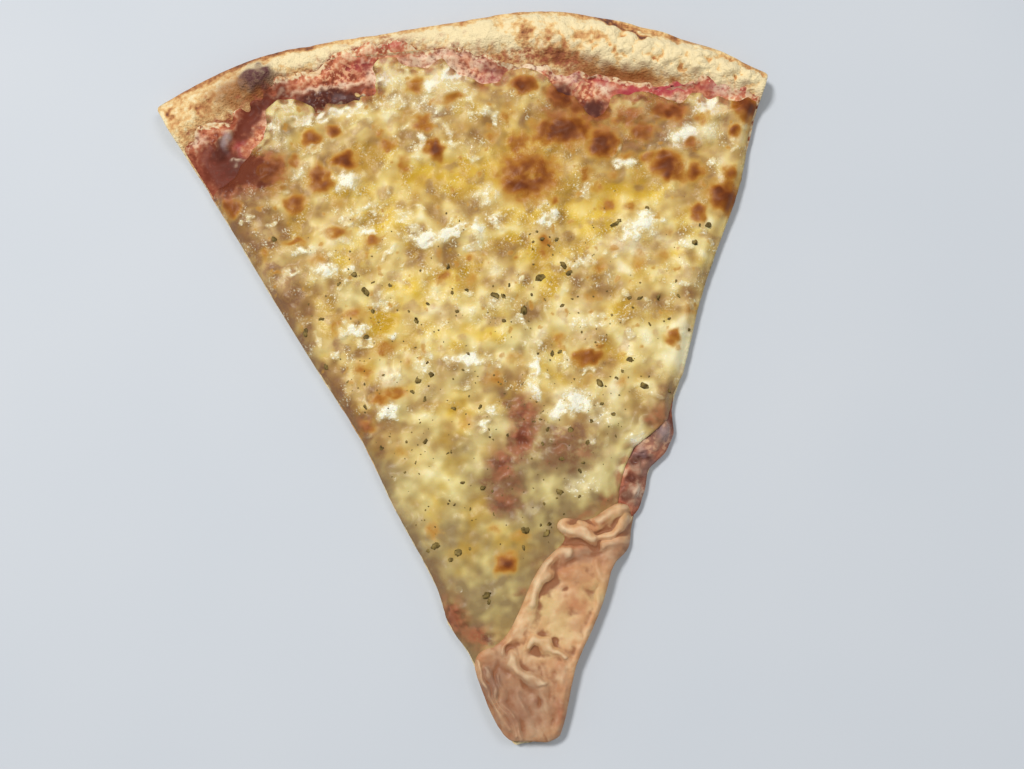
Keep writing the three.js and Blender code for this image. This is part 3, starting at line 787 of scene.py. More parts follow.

# %% [markdown]
# Fat ran out of the cheese and lies as golden oil in the low places. Curds that didn't quite melt stay as
# white, grainy lumps and shreds, and many of the listed white places are painted highlights as well, white
# where light shone off the wet cheese. Where the layer is thin the sauce shows through, from a pinkish tan
# blush to a plain red stain. Wider areas stayed fresher and less yellow than the rest, or calmer, with less
# mottling, or came out darker or paler. Each kind has its list.

# %% Where it is white, oily or blushed
# white curds, and painted highlights: many rows sit where light shone off the wet cheese, painted white
CURDS_AND_HIGHLIGHTS = (
    (1.0, -41, 180.5, 7.5, 5.5), (0.8, -50.3, 192.5, 4, 3), (0.7, -55.5, 184.5, 5, 3, -30),
    (0.6, -59, 180.5, 7, 2.5, 10), (0.8, -38, 204, 12, 3, 20), (0.75, -57, 206, 9, 6, 20),
    (0.7, -62, 200, 4, 8, 20), (0.5, -61, 194, 7, 6), (0.9, -56, 160.7, 8, 2.5), (0.85, -36.5, 165.3, 5, 4),
    (0.6, -41, 168, 8, 3, 20), (0.75, -50, 154.5, 8, 4.5, -15), (0.6, -59.5, 154.5, 4, 3),
    (0.5, -70.5, 172, 3, 2), (1.0, -19.5, 161, 9, 5), (0.95, -11, 162.5, 9, 4, 20), (1.0, -3.5, 162.7, 4),
    (0.7, 2, 164, 5, 4), (0.6, 0, 173, 8, 7), (0.5, -25, 168, 6, 5), (0.6, -36, 172, 8, 3, 10),
    (0.9, 17, 163.5, 7, 4, 25), (0.6, 15.5, 168, 4, 5), (1.0, 45, 159, 10, 6, 30), (0.8, 40, 155.5, 7, 3),
    (0.45, 30, 171, 6, 3, 20), (0.6, 26, 149, 9, 3, 5), (0.5, 20.5, 149, 3), (1.1, 61.5, 185, 12, 7, 10),
    (0.5, 66, 183, 5, 3, -30), (1.0, 69, 193.5, 9, 8, -30), (0.7, 74, 197, 9, 4, -20),
    (1.0, 41.5, 178.5, 6, 4), (1.1, 39, 181.5, 7, 2, 50), (0.9, -27, 211, 9, 5), (0.6, -26, 203, 8, 6),
    (0.9, -13, 208, 12, 5), (1.0, -6, 210.8, 10, 6), (0.7, -16.5, 203, 9, 2, 48), (0.5, -2, 203, 5, 4, -40),
    (0.7, 4.5, 196.5, 8, 3, -28), (0.8, -10, 193, 4, 10, 25), (0.9, -17, 189.7, 2.2, 6, 10),
    (0.5, -21.5, 196, 4, 3), (0.5, -3.5, 183.5, 4), (0.4, 19, 185, 4, 3, 30), (0.6, 18, 209.5, 9, 3, -15),
    (0.5, -19, 187, 5, 4), (0.8, -43, 135.5, 10, 4, -10), (0.7, -39, 131.5, 6, 2.5, 10),
    (0.9, -32, 133, 6, 2, 5), (0.6, -44, 149.5, 3, 1.5), (0.5, -34, 143, 8, 6), (0.9, -35, 111, 7, 4.5, 20),
    (0.6, -24, 124, 6, 5), (0.95, -10, 124, 9, 4.5), (1.0, 9.3, 119, 4, 7, 10), (1.0, 8.5, 112.5, 4, 7),
    (0.9, 20, 108.5, 10, 8, -30), (0.9, 14.5, 106, 8, 4, 20), (0.4, 27, 103, 9, 7), (0.4, 20, 84, 12, 8),
    (0.7, -5, 108, 4, 5), (0.7, -7.5, 103.5, 4, 3), (0.7, 25, 117.4, 5, 1.2), (0.5, 16, 83, 4.5, 4),
    (0.95, 36.5, 94.3, 5, 5, 20), (0.5, 23, 97.5, 4, 3), (0.6, 24, 132, 8, 5), (0.5, 29, 131, 6, 5),
    (0.4, 0, 140, 10, 5), (0.4, -19, 144, 4, 5), (0.45, -10, 205, 22, 12), (0.45, 60, 194, 28, 7, -5),
    (0.95, -47, 201.5, 30, 3.4, 5), (0.5, -64, 198, 9, 14, -30), (0.4, 28, 201, 18, 13),
    (0.5, -24, 212, 14, 12), (0.35, -16, 200, 12, 16), (0.7, -36, 204, 12, 3, 15),
)
OILY = (
    (0.9, -29, 169, 9, 12, 10), (1.0, -18, 180, 22, 8), (0.9, -2, 181, 20, 7), (0.9, 8, 186, 14, 12),
    (0.7, 6, 166, 10, 8), (1.0, 28, 162, 14, 10), (0.8, 26, 154, 9, 8), (0.9, -25, 146, 10, 9),
    (0.9, -34, 139, 8, 7), (0.6, -14, 107, 6, 10), (0.7, 52, 148, 7, 5), (0.6, 43, 143, 10, 5),
    (0.6, 36, 135, 8, 5), (0.9, 24, 174, 14, 8), (1.0, 16, 184, 22, 14), (1.0, 2, 178, 36, 12),
    (1.0, 18, 166, 30, 10), (0.8, 14, 154, 26, 8), (0.7, -12, 148, 18, 12), (0.7, -36, 136, 12),
    (1.0, 40, 169, 18, 9), (0.7, -36, 176, 12, 8), (0.6, -20, 132, 18, 8), (0.4, 0, 133, 20, 10),
    (0.5, -18, 95, 6, 18, 10), (0.6, -10, 152, 12, 5), (0.8, 16, 146, 8, 12), (0.5, -4, 69, 12, 8),
    (0.9, 49, 168, 14, 7), (0.5, -12, 78, 8, 14), (0.6, 32, 123, 5, 9), (0.7, 13, 117, 8, 7),
    (0.5, -16, 68, 8, 10), (0.5, -24, 84, 8, 10), (0.6, 30, 183, 8, 6), (0.6, 46, 184, 8, 7),
    (0.5, 6, 159, 20, 5), (0.7, -42, 158, 12, 8), (0.5, -54, 166, 12, 5), (0.4, 60, 178, 12, 5),
)
BLUSHED = (
    (0.35, 38, 104, 16, 13), (1.0, 17, 96, 21, 15), (0.9, 3, 98, 9, 14, -20), (1.0, -4, 88, 10, 14),
    (1.0, 4, 107, 8, 12), (0.8, -3, 80, 11, 6), (0.8, -14, 198, 12, 13), (0.7, 30, 188, 30, 14),
    (0.7, 50, 185, 24, 14), (0.6, 20, 178, 20, 14), (0.5, 56, 178, 16, 12), (0.8, -74, 182, 16, 12),
    (0.7, -3, 117, 9, 8), (0.6, 44.5, 152, 8), (0.6, -16, 156, 4, 6), (0.6, 16, 109, 10, 5),
    (0.5, -8, 104, 6, 8), (0.7, -42, 107.5, 9, 8), (0.6, -38, 116, 14, 8), (0.5, -66, 165, 18, 14, 30),
    (0.5, -60, 151, 14), (0.45, -70, 177, 14, 8), (0.5, 30, 144, 14, 12), (0.5, 47, 152, 8, 10),
    (0.5, 36, 153, 10, 5), (0.5, 27, 138, 8, 6), (0.35, 12, 128, 10, 6), (0.4, -14, 122, 10, 5),
    (0.5, 25, 127, 9, 6), (0.6, 47, 109, 10, 8), (0.5, 56, 134, 8, 10), (0.5, -45, 190, 12, 10),
    (0.6, -16, 194, 14, 9), (0.5, 3, 189, 14, 8), (0.6, 46, 187, 14, 9), (0.5, 5, 203, 14, 6),
    (0.5, 64, 168, 12, 10), (0.6, 74, 187, 12, 14), (0.5, 18, 160, 8, 10), (0.5, -14, 156, 8),
    (0.5, 3, 155, 9, 7), (0.4, -4, 169, 14, 8), (0.5, 2, 147, 12, 6), (0.5, 6, 63, 8),
    (0.4, -26, 60, 8, 14, 20), (0.3, 32, 86, 6, 8), (0.4, 20, 76, 14, 3, 15), (0.4, -46, 168, 10, 6),
    (0.5, -52, 158, 14, 7), (0.4, -52, 148, 10, 6), (0.5, 70, 178, 8), (0.4, -16, 137, 8, 5),
    (0.4, 45, 135, 12, 7), (0.4, 60, 142, 8, 6),
)
SAUCY = (
    (1.05, -21.5, 49.5, 8, 12, 15), (1.0, -15, 43.5, 14, 7, -22), (0.8, 44, 101, 9, 10, 20),
    (0.85, 38, 89, 6, 4), (0.8, 26, 78.5, 8, 4), (0.6, 18, 74.5, 10, 2, 18), (0.6, -2, 54.5, 6, 2.5, 15),
    (0.55, 33, 81, 6, 5), (0.75, 24, 199, 10, 12, 10), (0.8, 34, 199, 14, 10, -10), (0.8, 56, 194, 16, 7),
    (0.7, 45, 193, 12, 7), (0.7, 36, 193, 10, 7), (0.6, 24, 196, 12, 8), (0.5, 50, 186, 12, 5),
    (0.5, 14, 206, 10, 6), (1.5, -70, 187, 22, 13, -8), (0.8, 57, 192.5, 13, 5), (0.6, 47, 191, 9, 8),
    (0.5, 38, 190, 9, 8), (0.5, 62, 182, 7, 4), (0.6, 60, 188.5, 10, 4), (0.7, 29, 199, 16, 9),
    (0.4, 44, 184, 9, 5), (1.5, -76.5, 183.5, 11, 10), (1.2, -66, 182.5, 9, 4, 10), (0.6, -63, 189, 12),
    (1.0, 48, 197.5, 14, 3, -8), (0.7, 25, 206, 8, 5, -10), (0.5, 13, 210, 5, 4), (0.8, -42, 107, 6, 5, 20),
    (0.6, -76, 180, 10, 8, -60), (1.0, -3, 92, 8, 10), (0.9, -4, 81, 8, 7), (1.15, 3.5, 100, 8, 14, -25),
    (1.0, 4, 107, 11, 8, 20), (0.5, -1, 86, 8, 6), (0.4, 14, 96, 6, 5), (0.4, 20, 93, 5, 4),
    (0.35, 11, 91, 5, 4), (0.5, 1, 84, 5, 3, 30), (0.5, -28, 212, 5, 3), (0.5, 80, 192, 6, 8),
)
FRESH = (
    (0.8, 36, 106, 18, 12), (0.6, 36, 94, 12), (0.8, -48, 203, 26, 8), (0.8, 56, 190, 34, 12),
    (0.9, -60, 200, 18), (0.7, 60, 188, 30, 12), (1.0, 2, 130, 36, 12), (0.8, -12, 118, 14, 10),
    (0.7, 48, 122, 18), (0.6, -24, 118, 14, 10), (0.5, 14, 118, 12, 10), (0.6, -38, 146, 16, 8),
    (0.6, -55, 198, 14, 8), (0.5, -8, 159, 22, 6), (0.6, 46, 107, 12), (0.5, -58, 128, 14, 20),
    (0.4, 62, 145, 12, 24, 20),
)
CALM = (
    (0.8, 4, 179, 30, 10), (0.7, -52, 170, 16, 10), (0.7, 58, 168, 12, 10), (0.9, -28, 140, 26, 14),
    (0.9, -6, 131, 24, 10), (0.8, 22, 132, 22, 12), (0.9, 44, 170, 26, 10), (0.9, -16, 180, 30, 10),
    (0.9, -52, 197, 16, 8), (0.8, 48, 122, 18), (0.7, -20, 118, 26, 12), (0.8, 26, 168, 14, 12),
    (0.7, 30, 160, 14, 8), (0.7, -60, 146, 14, 30, 30), (0.7, 6, 190, 12, 10), (0.8, 50, 182, 14, 9),
    (0.6, -34, 194, 16, 10), (0.7, 42, 142, 16, 12), (0.6, 2, 152, 24, 7),
)
SHADED = (
    (0.5, -50, 198, 16, 6), (0.9, 60, 190, 12, 7), (0.7, 36, 172, 12, 16), (0.5, -24, 189, 10, 8),
    (0.5, -48, 200, 14, 5), (1.6, 16, 95, 22, 16), (1.3, -3, 88, 14, 22), (1.3, 5, 105, 14, 12),
    (1.1, -24, 60, 16, 26, 20), (1.0, -8, 54, 20, 22, 30), (1.5, -50, 119, 12, 16, 25),
    (1.1, -58, 141, 14, 16), (1.0, -24, 178, 15, 11), (1.2, 12, 143, 14, 11), (1.3, 26, 190, 24, 14),
    (0.7, 48, 183, 22, 18), (0.6, -50, 183, 22, 16), (0.7, -68, 182, 22, 16), (0.5, -27, 156, 20, 12),
    (0.5, 4, 155, 22, 10), (0.4, -16, 113, 16), (0.8, 14, 177, 22, 18), (0.5, -36, 95, 10, 14),
    (0.5, 38, 104, 14, 12), (0.8, 49, 172, 14, 10), (0.7, 44, 167, 14, 5), (0.7, 58, 180, 8),
    (0.8, 2, 200, 10, 8), (0.8, -14, 197, 12), (0.7, -43, 193, 9, 6), (0.6, 2, 188, 12, 8),
    (0.9, 48, 190, 16, 8), (0.5, 2, 142, 44, 14), (0.5, -36, 130, 14, 10), (0.6, 24, 131, 12, 10),
    (0.5, -26, 118, 12, 10), (0.6, 0, 117, 12, 10), (0.7, 60, 168, 12, 26), (0.5, -48, 142, 12),
    (0.4, 48, 142, 12, 10), (0.4, -36, 154, 12, 8), (0.7, 2, 68, 16, 12), (0.6, 18, 74, 14, 8, 20),
    (1.5, -26, 58, 9, 16, 20),
)
PALER = (
    (0.4, 36, 130, 10, 9), (1.1, 57, 131, 7, 18, -20), (0.6, 18, 166, 26, 9), (0.6, 12, 202, 12, 8),
    (0.9, -22, 213, 12, 8), (0.6, -36, 178, 12, 8), (0.9, 72, 184, 14, 18, -20), (1.1, 50, 155, 14, 12),
    (1.4, 23, 83, 15, 9), (0.6, 25, 105, 14, 12), (1.3, 0, 131, 14, 10), (0.8, -15, 210, 26, 10),
    (0.8, 14, 117, 12), (0.5, 52, 120, 10, 16), (0.8, -24, 141, 12, 10), (0.4, -38, 190, 12, 14),
    (0.5, -22, 90, 14, 16), (0.8, 66, 180, 9, 7), (0.6, 74, 180, 7, 8), (0.6, 50, 162, 10, 6),
    (0.6, 58, 167, 8, 6), (0.7, -34, 183, 8, 7), (0.5, -12, 76, 14, 10), (0.9, 12, 83, 12, 9),
    (1.1, -62, 155, 12, 10), (1.5, 74, 191, 10, 9), (0.8, -12, 190, 8), (0.4, -12, 166, 14, 6),
)
print(len(CURDS_AND_HIGHLIGHTS), "curds,", len(OILY), "pools of oil,", len(BLUSHED) + len(SAUCY), "stains")

# %% [markdown]
# Between those places the cheese isn't plain: it is blotched all over, at random, with soft patches of
# tan, gold and white. The random patches are grain, cut off at a level, and added to the placed ones, so
# both get the same ragged edges. Where the cheese thins out towards the rim, the sauce shows through it.

# %% The cheese's masks
# whitish centres of three blisters, partly popped skin and partly painted highlight
POPPED_AND_HIGHLIT = (
    (0.8, 13.7, 177.5, 4.6, 3.8, 20), (0.7, -50.2, 192.3, 3.5, 2.5), (0.6, -47.5, 182.5, 2.5, 3),
)


def blotches(patch, size, seed, level=0.5):
    """Soft random patches about size mm across, from 0 to 1, fewer with a higher level."""
    mixed = grain(patch, size, seed) + 0.5 * grain(patch, size / 2, seed + 1)
    return smoothstep(level, level + 1.2, mixed)


def wide_areas(rows, seed, edge=1.0):
    """Large soft areas of the cheese, with edges that wander by a millimetre or two."""
    return spots(shaken(cheese, 1.5, 9.0, seed), rows, edge=edge)


cheese_left, cheese_right = from_cuts(cheese)
from_cut = np.minimum(cheese_left, cheese_right)
# painted shade: the cheese is made darker and tanner right at the cuts, most at the left, where its rounded
# edge is in shade
at_cut = np.exp(-((cheese_left / 3.0) ** 2)) + 0.3 * np.exp(-((cheese_right / 3.0) ** 2))
left_side = np.exp(-((cheese_left / 9.5) ** 2)) * smoothstep(50, 110, cheese.Y)
left_side *= 1 + 0.25 * grain(cheese, 9, 53)
busy = smoothstep(85, 130, cheese.Y)
hot = smoothstep(162, 182, cheese.Y + 4 * grain(cheese, 20, 54))
cool = smoothstep(100, 62, cheese.Y)
at_rim = smoothstep(2.5, 6.0, from_cut - cheese.depth)
thin = at_rim * smoothstep(4.0, 0.5, cheese.depth)
popped_and_highlit = spots(shaken(cheese, 0.3, 2.0, 40), POPPED_AND_HIGHLIT)
toast = spots(shaken(cheese, 0.35, 4.0, 41), BROWNED, edge=1.15)
toast *= 1 + 0.10 * grain(cheese, 3.0, 80)
toast = np.maximum(toast, 0.34 * busy * blotches(cheese, 4, 42, 1.5))
toast = np.maximum(toast, hot * (0.05 + 0.15 * blotches(cheese, 9, 55, 0.2))) * (1 - 0.6 * popped_and_highlit)
toasted_there = np.clip(toast, 0, 1)
oil = spots(shaken(cheese, 1.2, 6.0, 45), OILY, edge=1.0)
oil = np.clip(1.15 * oil + 0.55 * blotches(cheese, 13, 46, 0.6) * (0.2 + 0.8 * busy), 0, 1)
blush = 1.4 * spots(shaken(cheese, 1.0, 4.0, 47), BLUSHED, edge=1.1)
blush = np.maximum(blush, 0.60 * blotches(cheese, 7, 48, 0.5) * (0.05 + 0.95 * busy))
blush = np.clip(blush + left_side * (0.28 + 0.4 * blotches(cheese, 5, 49, -0.4)) + 0.3 * at_cut, 0, 1)
plain = smoothstep(112, 92, cheese.Y + 5 * grain(cheese, 14, 74))
plain = np.maximum(plain, wide_areas(FRESH, 77))
calm = wide_areas(CALM, 79, edge=1.3)
restless = mix(1.35, 0.45, calm)
saucy = spots(shaken(cheese, 0.5, 3.5, 51), SAUCY, edge=1.3)
saucy = np.maximum(saucy, 0.85 * thin * smoothstep(-1.0, 0.7, grain(cheese, 3.5, 52)))
milk = spots(shaken(cheese, 0.8, 3.5, 43), CURDS_AND_HIGHLIGHTS, edge=1.1)
shreds = 0.5 * blotches(cheese, 6, 44, 1.2) * (1 - 0.7 * oil) * (0.4 + 0.6 * busy) * (1 - 0.7 * calm)
milk = np.maximum(milk, shreds)
milk = milk * (1 - 0.8 * toasted_there) * (1 - 0.85 * np.clip(saucy, 0, 1)) + 0.45 * popped_and_highlit
# painted light: the cheese is made paler near the right cut, where it turns away from the main lamp
right_side_light = np.exp(-((cheese_right / 7.0) ** 2)) * busy
wet = np.clip(0.9 * milk + (0.30 + 0.30 * oil + 0.5 * blotches(cheese, 6, 66, 0.4)) * busy, 0, 1)
wet *= (1 - 0.8 * toasted_there) * (1 - 0.6 * calm)
tone = 0.57 + 0.12 * grain(cheese, 20, 56)
tone += restless * (mix(0.05, 0.10, busy) * grain(cheese, 7, 57) + 0.05 * grain(cheese, 3.5, 64))
# darker along the left cut, at the cuts (painted shade), over the lower half, towards the tip and near the
# rim; paler near the right cut (painted light)
tone -= 0.18 * left_side + 0.12 * at_cut + 0.10 * (1 - busy) + 0.26 * cool + 0.06 * hot - 0.16 * right_side_light
tone += 0.30 * wide_areas(PALER, 67) - 0.32 * wide_areas(SHADED, 69)
print(f"browned: {100 * np.mean(toast[cheese.depth > 0] > 0.4):.0f}% of the cheese, "
      f"white: {100 * np.mean(milk[cheese.depth > 0] > 0.5):.0f}%")

# %% [markdown]
# The cheese's surface is soft mounds where it pooled over the sauce's lumps, rough curd on them, and smooth
# domes where a blister rose. It thins to nothing over the sauce at its rim end, but the cuts show its full
# thickness.

# %% The cheese's relief
MOUNDS = (  # height, x, y, length, width, turn
    (1.1, 17, 96, 19, 16), (0.6, 18, 110, 13, 8), (0.6, -9, 123, 14, 9), (0.6, -41, 181, 9, 8),
    (0.7, 45, 158, 14, 9, 20), (0.8, 61, 185, 11, 8), (0.8, 69, 193, 11, 9, -30),
    (0.6, -57, 204, 13, 9, 20), (0.5, -7, 210, 14, 7), (0.5, -3, 118, 10, 9), (0.5, -27, 209, 12, 8),
    (0.6, -15, 161, 22, 7, 8), (0.5, 1, 172, 10, 9), (0.5, 17, 165, 9), (0.5, -50, 157, 14, 10),
    (0.5, -43, 136, 13, 8), (0.4, -35, 112, 11, 7), (0.6, 80, 190, 9, 10), (0.5, -32, 134, 8, 5),
    (0.4, 26, 132, 14, 8), (0.7, 9, 116, 7, 14), (0.6, 36, 95, 7), (0.4, 47, 108, 9, 8),
    (0.5, -45, 166, 12, 8), (0.5, 4, 198, 12, 7, -20), (0.5, -12, 194, 9, 12, 20), (0.5, -5, 88, 10, 12),
    (-0.5, 24, 156, 14, 10), (-0.5, -28, 172, 9, 16), (-0.5, -14, 181, 26, 7), (-0.4, -16, 105, 8, 16),
    (-0.5, 44, 172, 16, 8), (-0.4, 26, 170, 8), (-0.4, 15, 148, 8, 10), (-0.4, 30, 122, 6, 10),
    (-0.4, 6, 158, 18, 6),
)
CHEESE_SINKS = 0.3  # mm that the cheese goes into what it lies on
mounds = sum(height * spot(cheese, *where) for height, *where in MOUNDS)
soft = mix(0.6, 1.0, busy) * (1 - 0.6 * toasted_there) * mix(1.1, 0.6, calm)
uneven = 0.28 * grain(cheese, 12, 58) + 0.15 * grain(cheese, 6, 59) + 0.05 * wet * grain(cheese, 2.4, 60)
lumps = mounds + soft * uneven
lumps += 0.30 * milk + milk * (0.30 * pillows(cheese, 2.4, 61) + 0.08 * grain(cheese, 1.2, 62))
lumps += 0.5 * toasted_there**1.5 - 0.20 * oil - 0.3 * popped_and_highlit
lumps += (saucy + 0.5 * blush) * 0.09 * grain(cheese, 2.2, 63)
# partly the cheese's own colour, drier and whiter on top with oil between, and partly painted highlight on
# the lumps and painted shade between them
tone += 0.42 * np.clip(lumps - blur(lumps, 3.0, cheese.step), -0.6, 0.6)
fringe = smoothstep(0.0, mix(2.2, 7.0, at_rim), cheese.depth)
sauce_under = onto(cheese, sauce, sauce_top)
dough_there = onto(cheese, crust, crust_top)
bed = np.where(onto(cheese, sauce, sauce.level) > 0.5, sauce_under, dough_there)
bed = blur(bed, 0.6, cheese.step)
thickness = np.clip(cheese.top - onto(cheese, sauce, sauce.top), 0.5, None) + 0.3
edge_share = mix(0.45, 0.12, at_rim)  # of the full thickness is left at the outline
cheese_top = bed + thickness * mix(edge_share, 1.0, np.sqrt(fringe)) + lumps * np.maximum(fringe, 0.25)
cheese_bottom = bed - CHEESE_SINKS
print(f"the cheese is {np.mean((cheese_top - bed)[cheese.depth > 2]):.1f} mm thick on average")

# %% [markdown]
# At the tip a thin sheet of cheese slid off and folded over, sauce side up. It is a wrinkled skin: fat,
# noodle-like ridges where it buckled, and fine lines along its length where it stretched. A cloth
# simulation could fold a sheet, but not into these very ridges, so they are drawn as lines of their own
# height and width.

# %% The folded cheese's ridges
RIDGES = (  # height, width, points
    (1.7, 4.2, ((12.5, 65.5), (8.5, 63.3), (5.5, 60), (3, 55.5), (0.8, 51))),
    (0.9, 5.0, ((0.8, 51), (-1.5, 47), (-4.5, 43.5))),
    (1.9, 3.8, ((13, 72), (17, 70.3), (20.5, 68.6))),
    (1.4, 3.4, ((20.5, 68.6), (25, 68.8), (29, 71), (31, 73))),
    (2.0, 5.0, ((23.5, 72.6), (27.5, 74.6), (31.5, 76.4))),
    (1.0, 2.6, ((17, 72.5), (21, 71), (25, 71.5))),
    (1.0, 3.0, ((24, 66), (28, 66.5), (31, 67))),
    (1.3, 2.6, ((-1.5, 39.5), (1, 41), (3.8, 40.3), (5.5, 37.5), (8.5, 35.3))),
    (1.5, 3.4, ((-6.5, 35.5), (-4, 32.5), (-1, 30), (1.8, 28.3))),
    (1.1, 1.7, ((-16, 37), (-14.5, 30), (-12, 23), (-9, 16))),
    (1.0, 1.7, ((-13.5, 35), (-12.3, 29), (-9.8, 22), (-7, 15))),
    (0.8, 1.7, ((-11, 32), (-9.6, 26), (-7.4, 20), (-5.5, 14))),
    (0.6, 2.6, ((-5, 27), (-4, 21), (-2, 14))),
    (0.5, 2.6, ((2, 26), (2.5, 20), (2.5, 13))),
    (0.6, 3.4, ((8, 31), (7, 22), (5, 13))),
    (0.6, 3.0, ((21, 61), (22.5, 55), (20, 48), (16, 40), (13, 34))),
    (0.6, 4.0, ((11, 59), (15, 58), (19.5, 55))),
    (0.4, 4.0, ((5, 52), (9.5, 47), (12.5, 41))),
    (0.6, 1.8, ((-9, 38), (-6, 41), (-3, 46))),
)
HOLLOWS = (
    (1.1, 1.2, 37.7, 5, 2.8, -15), (0.9, 6.5, 39, 4, 3, -30), (0.8, -6.5, 38.5, 3, 2.4),
    (0.8, 0, 23.3, 1.8, 3), (0.6, 11.5, 54.5, 2, 1.5, 20), (0.9, 16, 67, 12, 2.6, -8),
    (0.6, -12.5, 30, 1.8, 12, -20), (0.7, 22.5, 70.2, 5, 1.5, 20), (0.6, 8.5, 57, 4, 9, -35),
    (0.5, 18, 63.5, 10, 2.5, 10), (0.5, 14, 49, 4, 6, 30), (0.5, 3, 33, 6, 4, -30),
)
ragged = shaken(fold, 0.45, 6.0, 61)
ridges = np.zeros(fold.X.shape)
for height, width, points in RIDGES:
    ridges = np.maximum(ridges, height * line(ragged, 0.85 * width, *points, edge=1.4))
hollows = spots(ragged, HOLLOWS)
along = fold.X * math.cos(math.radians(-22)) - fold.Y * math.sin(math.radians(-22))
stretch_lines = np.sin(2 * np.pi * along / 2.3 + 2.5 * grain(fold, 7, 62))
low_part = smoothstep(42, 30, fold.Y)
print(len(RIDGES), "ridges, up to", max(height for height, *_ in RIDGES), "mm high")

# %% The folded cheese's relief
FOLD_SINKS = 0.35  # mm that the fold goes into the cheese under it
fold_lumps = 0.16 * grain(fold, 8, 63) + 0.07 * grain(fold, 3.5, 64) + 0.02 * grain(fold, 1.5, 65)
fold_lumps += stretch_lines * mix(0.02, 0.07, low_part)
fold_full = 1.0 + ridges - 0.9 * hollows + fold_lumps
fold_rise = np.sqrt(smoothstep(-0.3, 1.5, fold.depth))
fold_bed = onto(fold, cheese, blur(cheese.top, 1.5, cheese.step))
fold_top = fold_bed + 0.2 + mix(0.35, np.clip(fold_full, 0.45, None), fold_rise)
fold_bottom = fold_bed - FOLD_SINKS
# crests and hollows of the relief, which the fold's finish paints as highlight and shade
fold_crest_shade = (fold_full - blur(fold_full, 1.6, fold.step)) * mix(1.0, 0.8, low_part)
under_fold = onto(cheese, fold, fold.depth) > 3.0
sunk = smoothstep(0.0, 2.0, onto(cheese, fold, fold.depth))
cheese_top = mix(cheese_top, blur(cheese.top, 1.5, cheese.step), sunk)
cheese_bottom = np.minimum(cheese_bottom, cheese_top - CHEESE_SINKS)
print(f"the fold is up to {np.max((fold_top - fold_bed)[fold.depth > 0.5]):.1f} mm thick")

# %% [markdown]
# With all the heights known, the four skins can be made. The crust has twelve rows down its side, because
# its end faces show the crumb at the rim. The others are thin, and two to four rows are enough.

# %% Make the four skins
under_sauce = onto(crust, sauce, sauce.depth) > COVER
under_cheese = onto(sauce, cheese, cheese.depth) > COVER
crust_skin = make_skin("baked_crust", crust, crust_top, crust_bottom, 12, hidden=under_sauce)
sauce_skin = make_skin("baked_sauce", sauce, sauce_top, sauce_bottom, 2, hidden=under_cheese)
cheese_skin = make_skin("blistered_cheese", cheese, cheese_top, cheese_bottom, 4, hidden=under_fold)
fold_skin = make_skin("wrinkled_fold", fold, fold_top, fold_bottom, 3)

# %% [markdown]
# The sides need forms of their own. A cut through dough shows torn crumb, so its points are pushed in
# where a three-dimensional noise says there is a bubble. The outer wall of the rim isn't cut: it rounds
# under towards the pan.

# %% Crumb on the cuts, and a rounded outer wall
def push_inwards(piece, patch, how_far):
    """Moves the points of a side towards the inside of the outline by how_far mm each."""
    slope_y, slope_x = np.gradient(patch.level, patch.step)
    points = point_array(piece)
    gx, gy = (sample(patch, slope, points[:, 0], points[:, 1]) for slope in (slope_x, slope_y))
    size = np.maximum(np.hypot(gx, gy), 1e-3)
    points[:, 0] += how_far * gx / size
    points[:, 1] += how_far * gy / size
    set_points(piece, points)


def bubbles(points, size, seed):
    """From 0 to 1, high in the middle of round pores about size mm across."""
    scaled = (points / (size, size, 0.8 * size) + seed).tolist()
    return np.clip([1.4 - 2.2 * noise.voronoi(place)[0][0] for place in scaled], 0, 1)


points, down = point_array(crust_skin), read_down(crust_skin)
is_side = (down > 0.01) & (down < 1.5)
side_share = np.where(is_side, np.sin(np.pi * np.clip(down, 0, 1)), 0.0)
at_cut = smoothstep(3.0, 1.5, np.abs(sample(crust, crust_cut, points[:, 0], points[:, 1])))
pores = np.zeros(len(points))
pores[is_side] = np.maximum(0.7 * bubbles(points[is_side], 3.2, 5), 0.4 * bubbles(points[is_side], 1.5, 9))
rim_wall = np.where(is_side, 1.1 * np.clip(down, 0, 1) ** 2 - 0.25 * side_share, 0.0)
push_inwards(crust_skin, crust, mix(rim_wall, pores * side_share, at_cut))
print(f"{int(is_side.sum())} points on the crust's sides, pores up to {pores.max():.1f} mm deep")

# %% [markdown]
# Baked dough is dry and matt. Its colour runs from pale straw through gold to brown as it toasts, and it
# is speckled, because every pore edge browns first. One ramp holds those colours, and the browning field
# plus some speckle picks a place on it. That field also carries painted light and shade: it is paler on
# the crests of the relief and browner in its hollows, most on the creamy ridge, and browner on the slope
# below that ridge, which stands for the slope's shade. Fat soaked in beside the bubbles and made smooth
# amber patches; those along the slope below the ridge are partly painted shade too. The crumb on the cuts
# and the floured underside are painted over.

# %% The baked dough's finish
DOUGH_TOASTING = (
    (0.0, 0.96, 0.79, 0.47), (0.20, 0.89, 0.61, 0.28), (0.40, 0.72, 0.40, 0.16),
    (0.60, 0.50, 0.21, 0.08), (0.80, 0.26, 0.10, 0.05), (1.0, 0.14, 0.06, 0.045),
)
UNDERSIDE_BAKING = (
    (0.0, 0.74, 0.55, 0.30), (0.45, 0.62, 0.38, 0.17), (0.56, 0.42, 0.20, 0.08), (0.75, 0.16, 0.07, 0.035),
)
SOAKED_FAT_AND_SLOPE_SHADE = rgb(0.34, 0.115, 0.032)
SOAKED_SAUCE = rgb(0.40, 0.11, 0.06)
CHARRED_SKIN = rgb(0.15, 0.062, 0.058)
CRUMB_HOLLOW, CRUMB_WALL = rgb(0.62, 0.46, 0.25), rgb(0.90, 0.78, 0.52)
dough = Finish("baked_dough")
specks, patches = dough.speckle(0.7, 2.0), dough.speckle(2.8, 2.0)
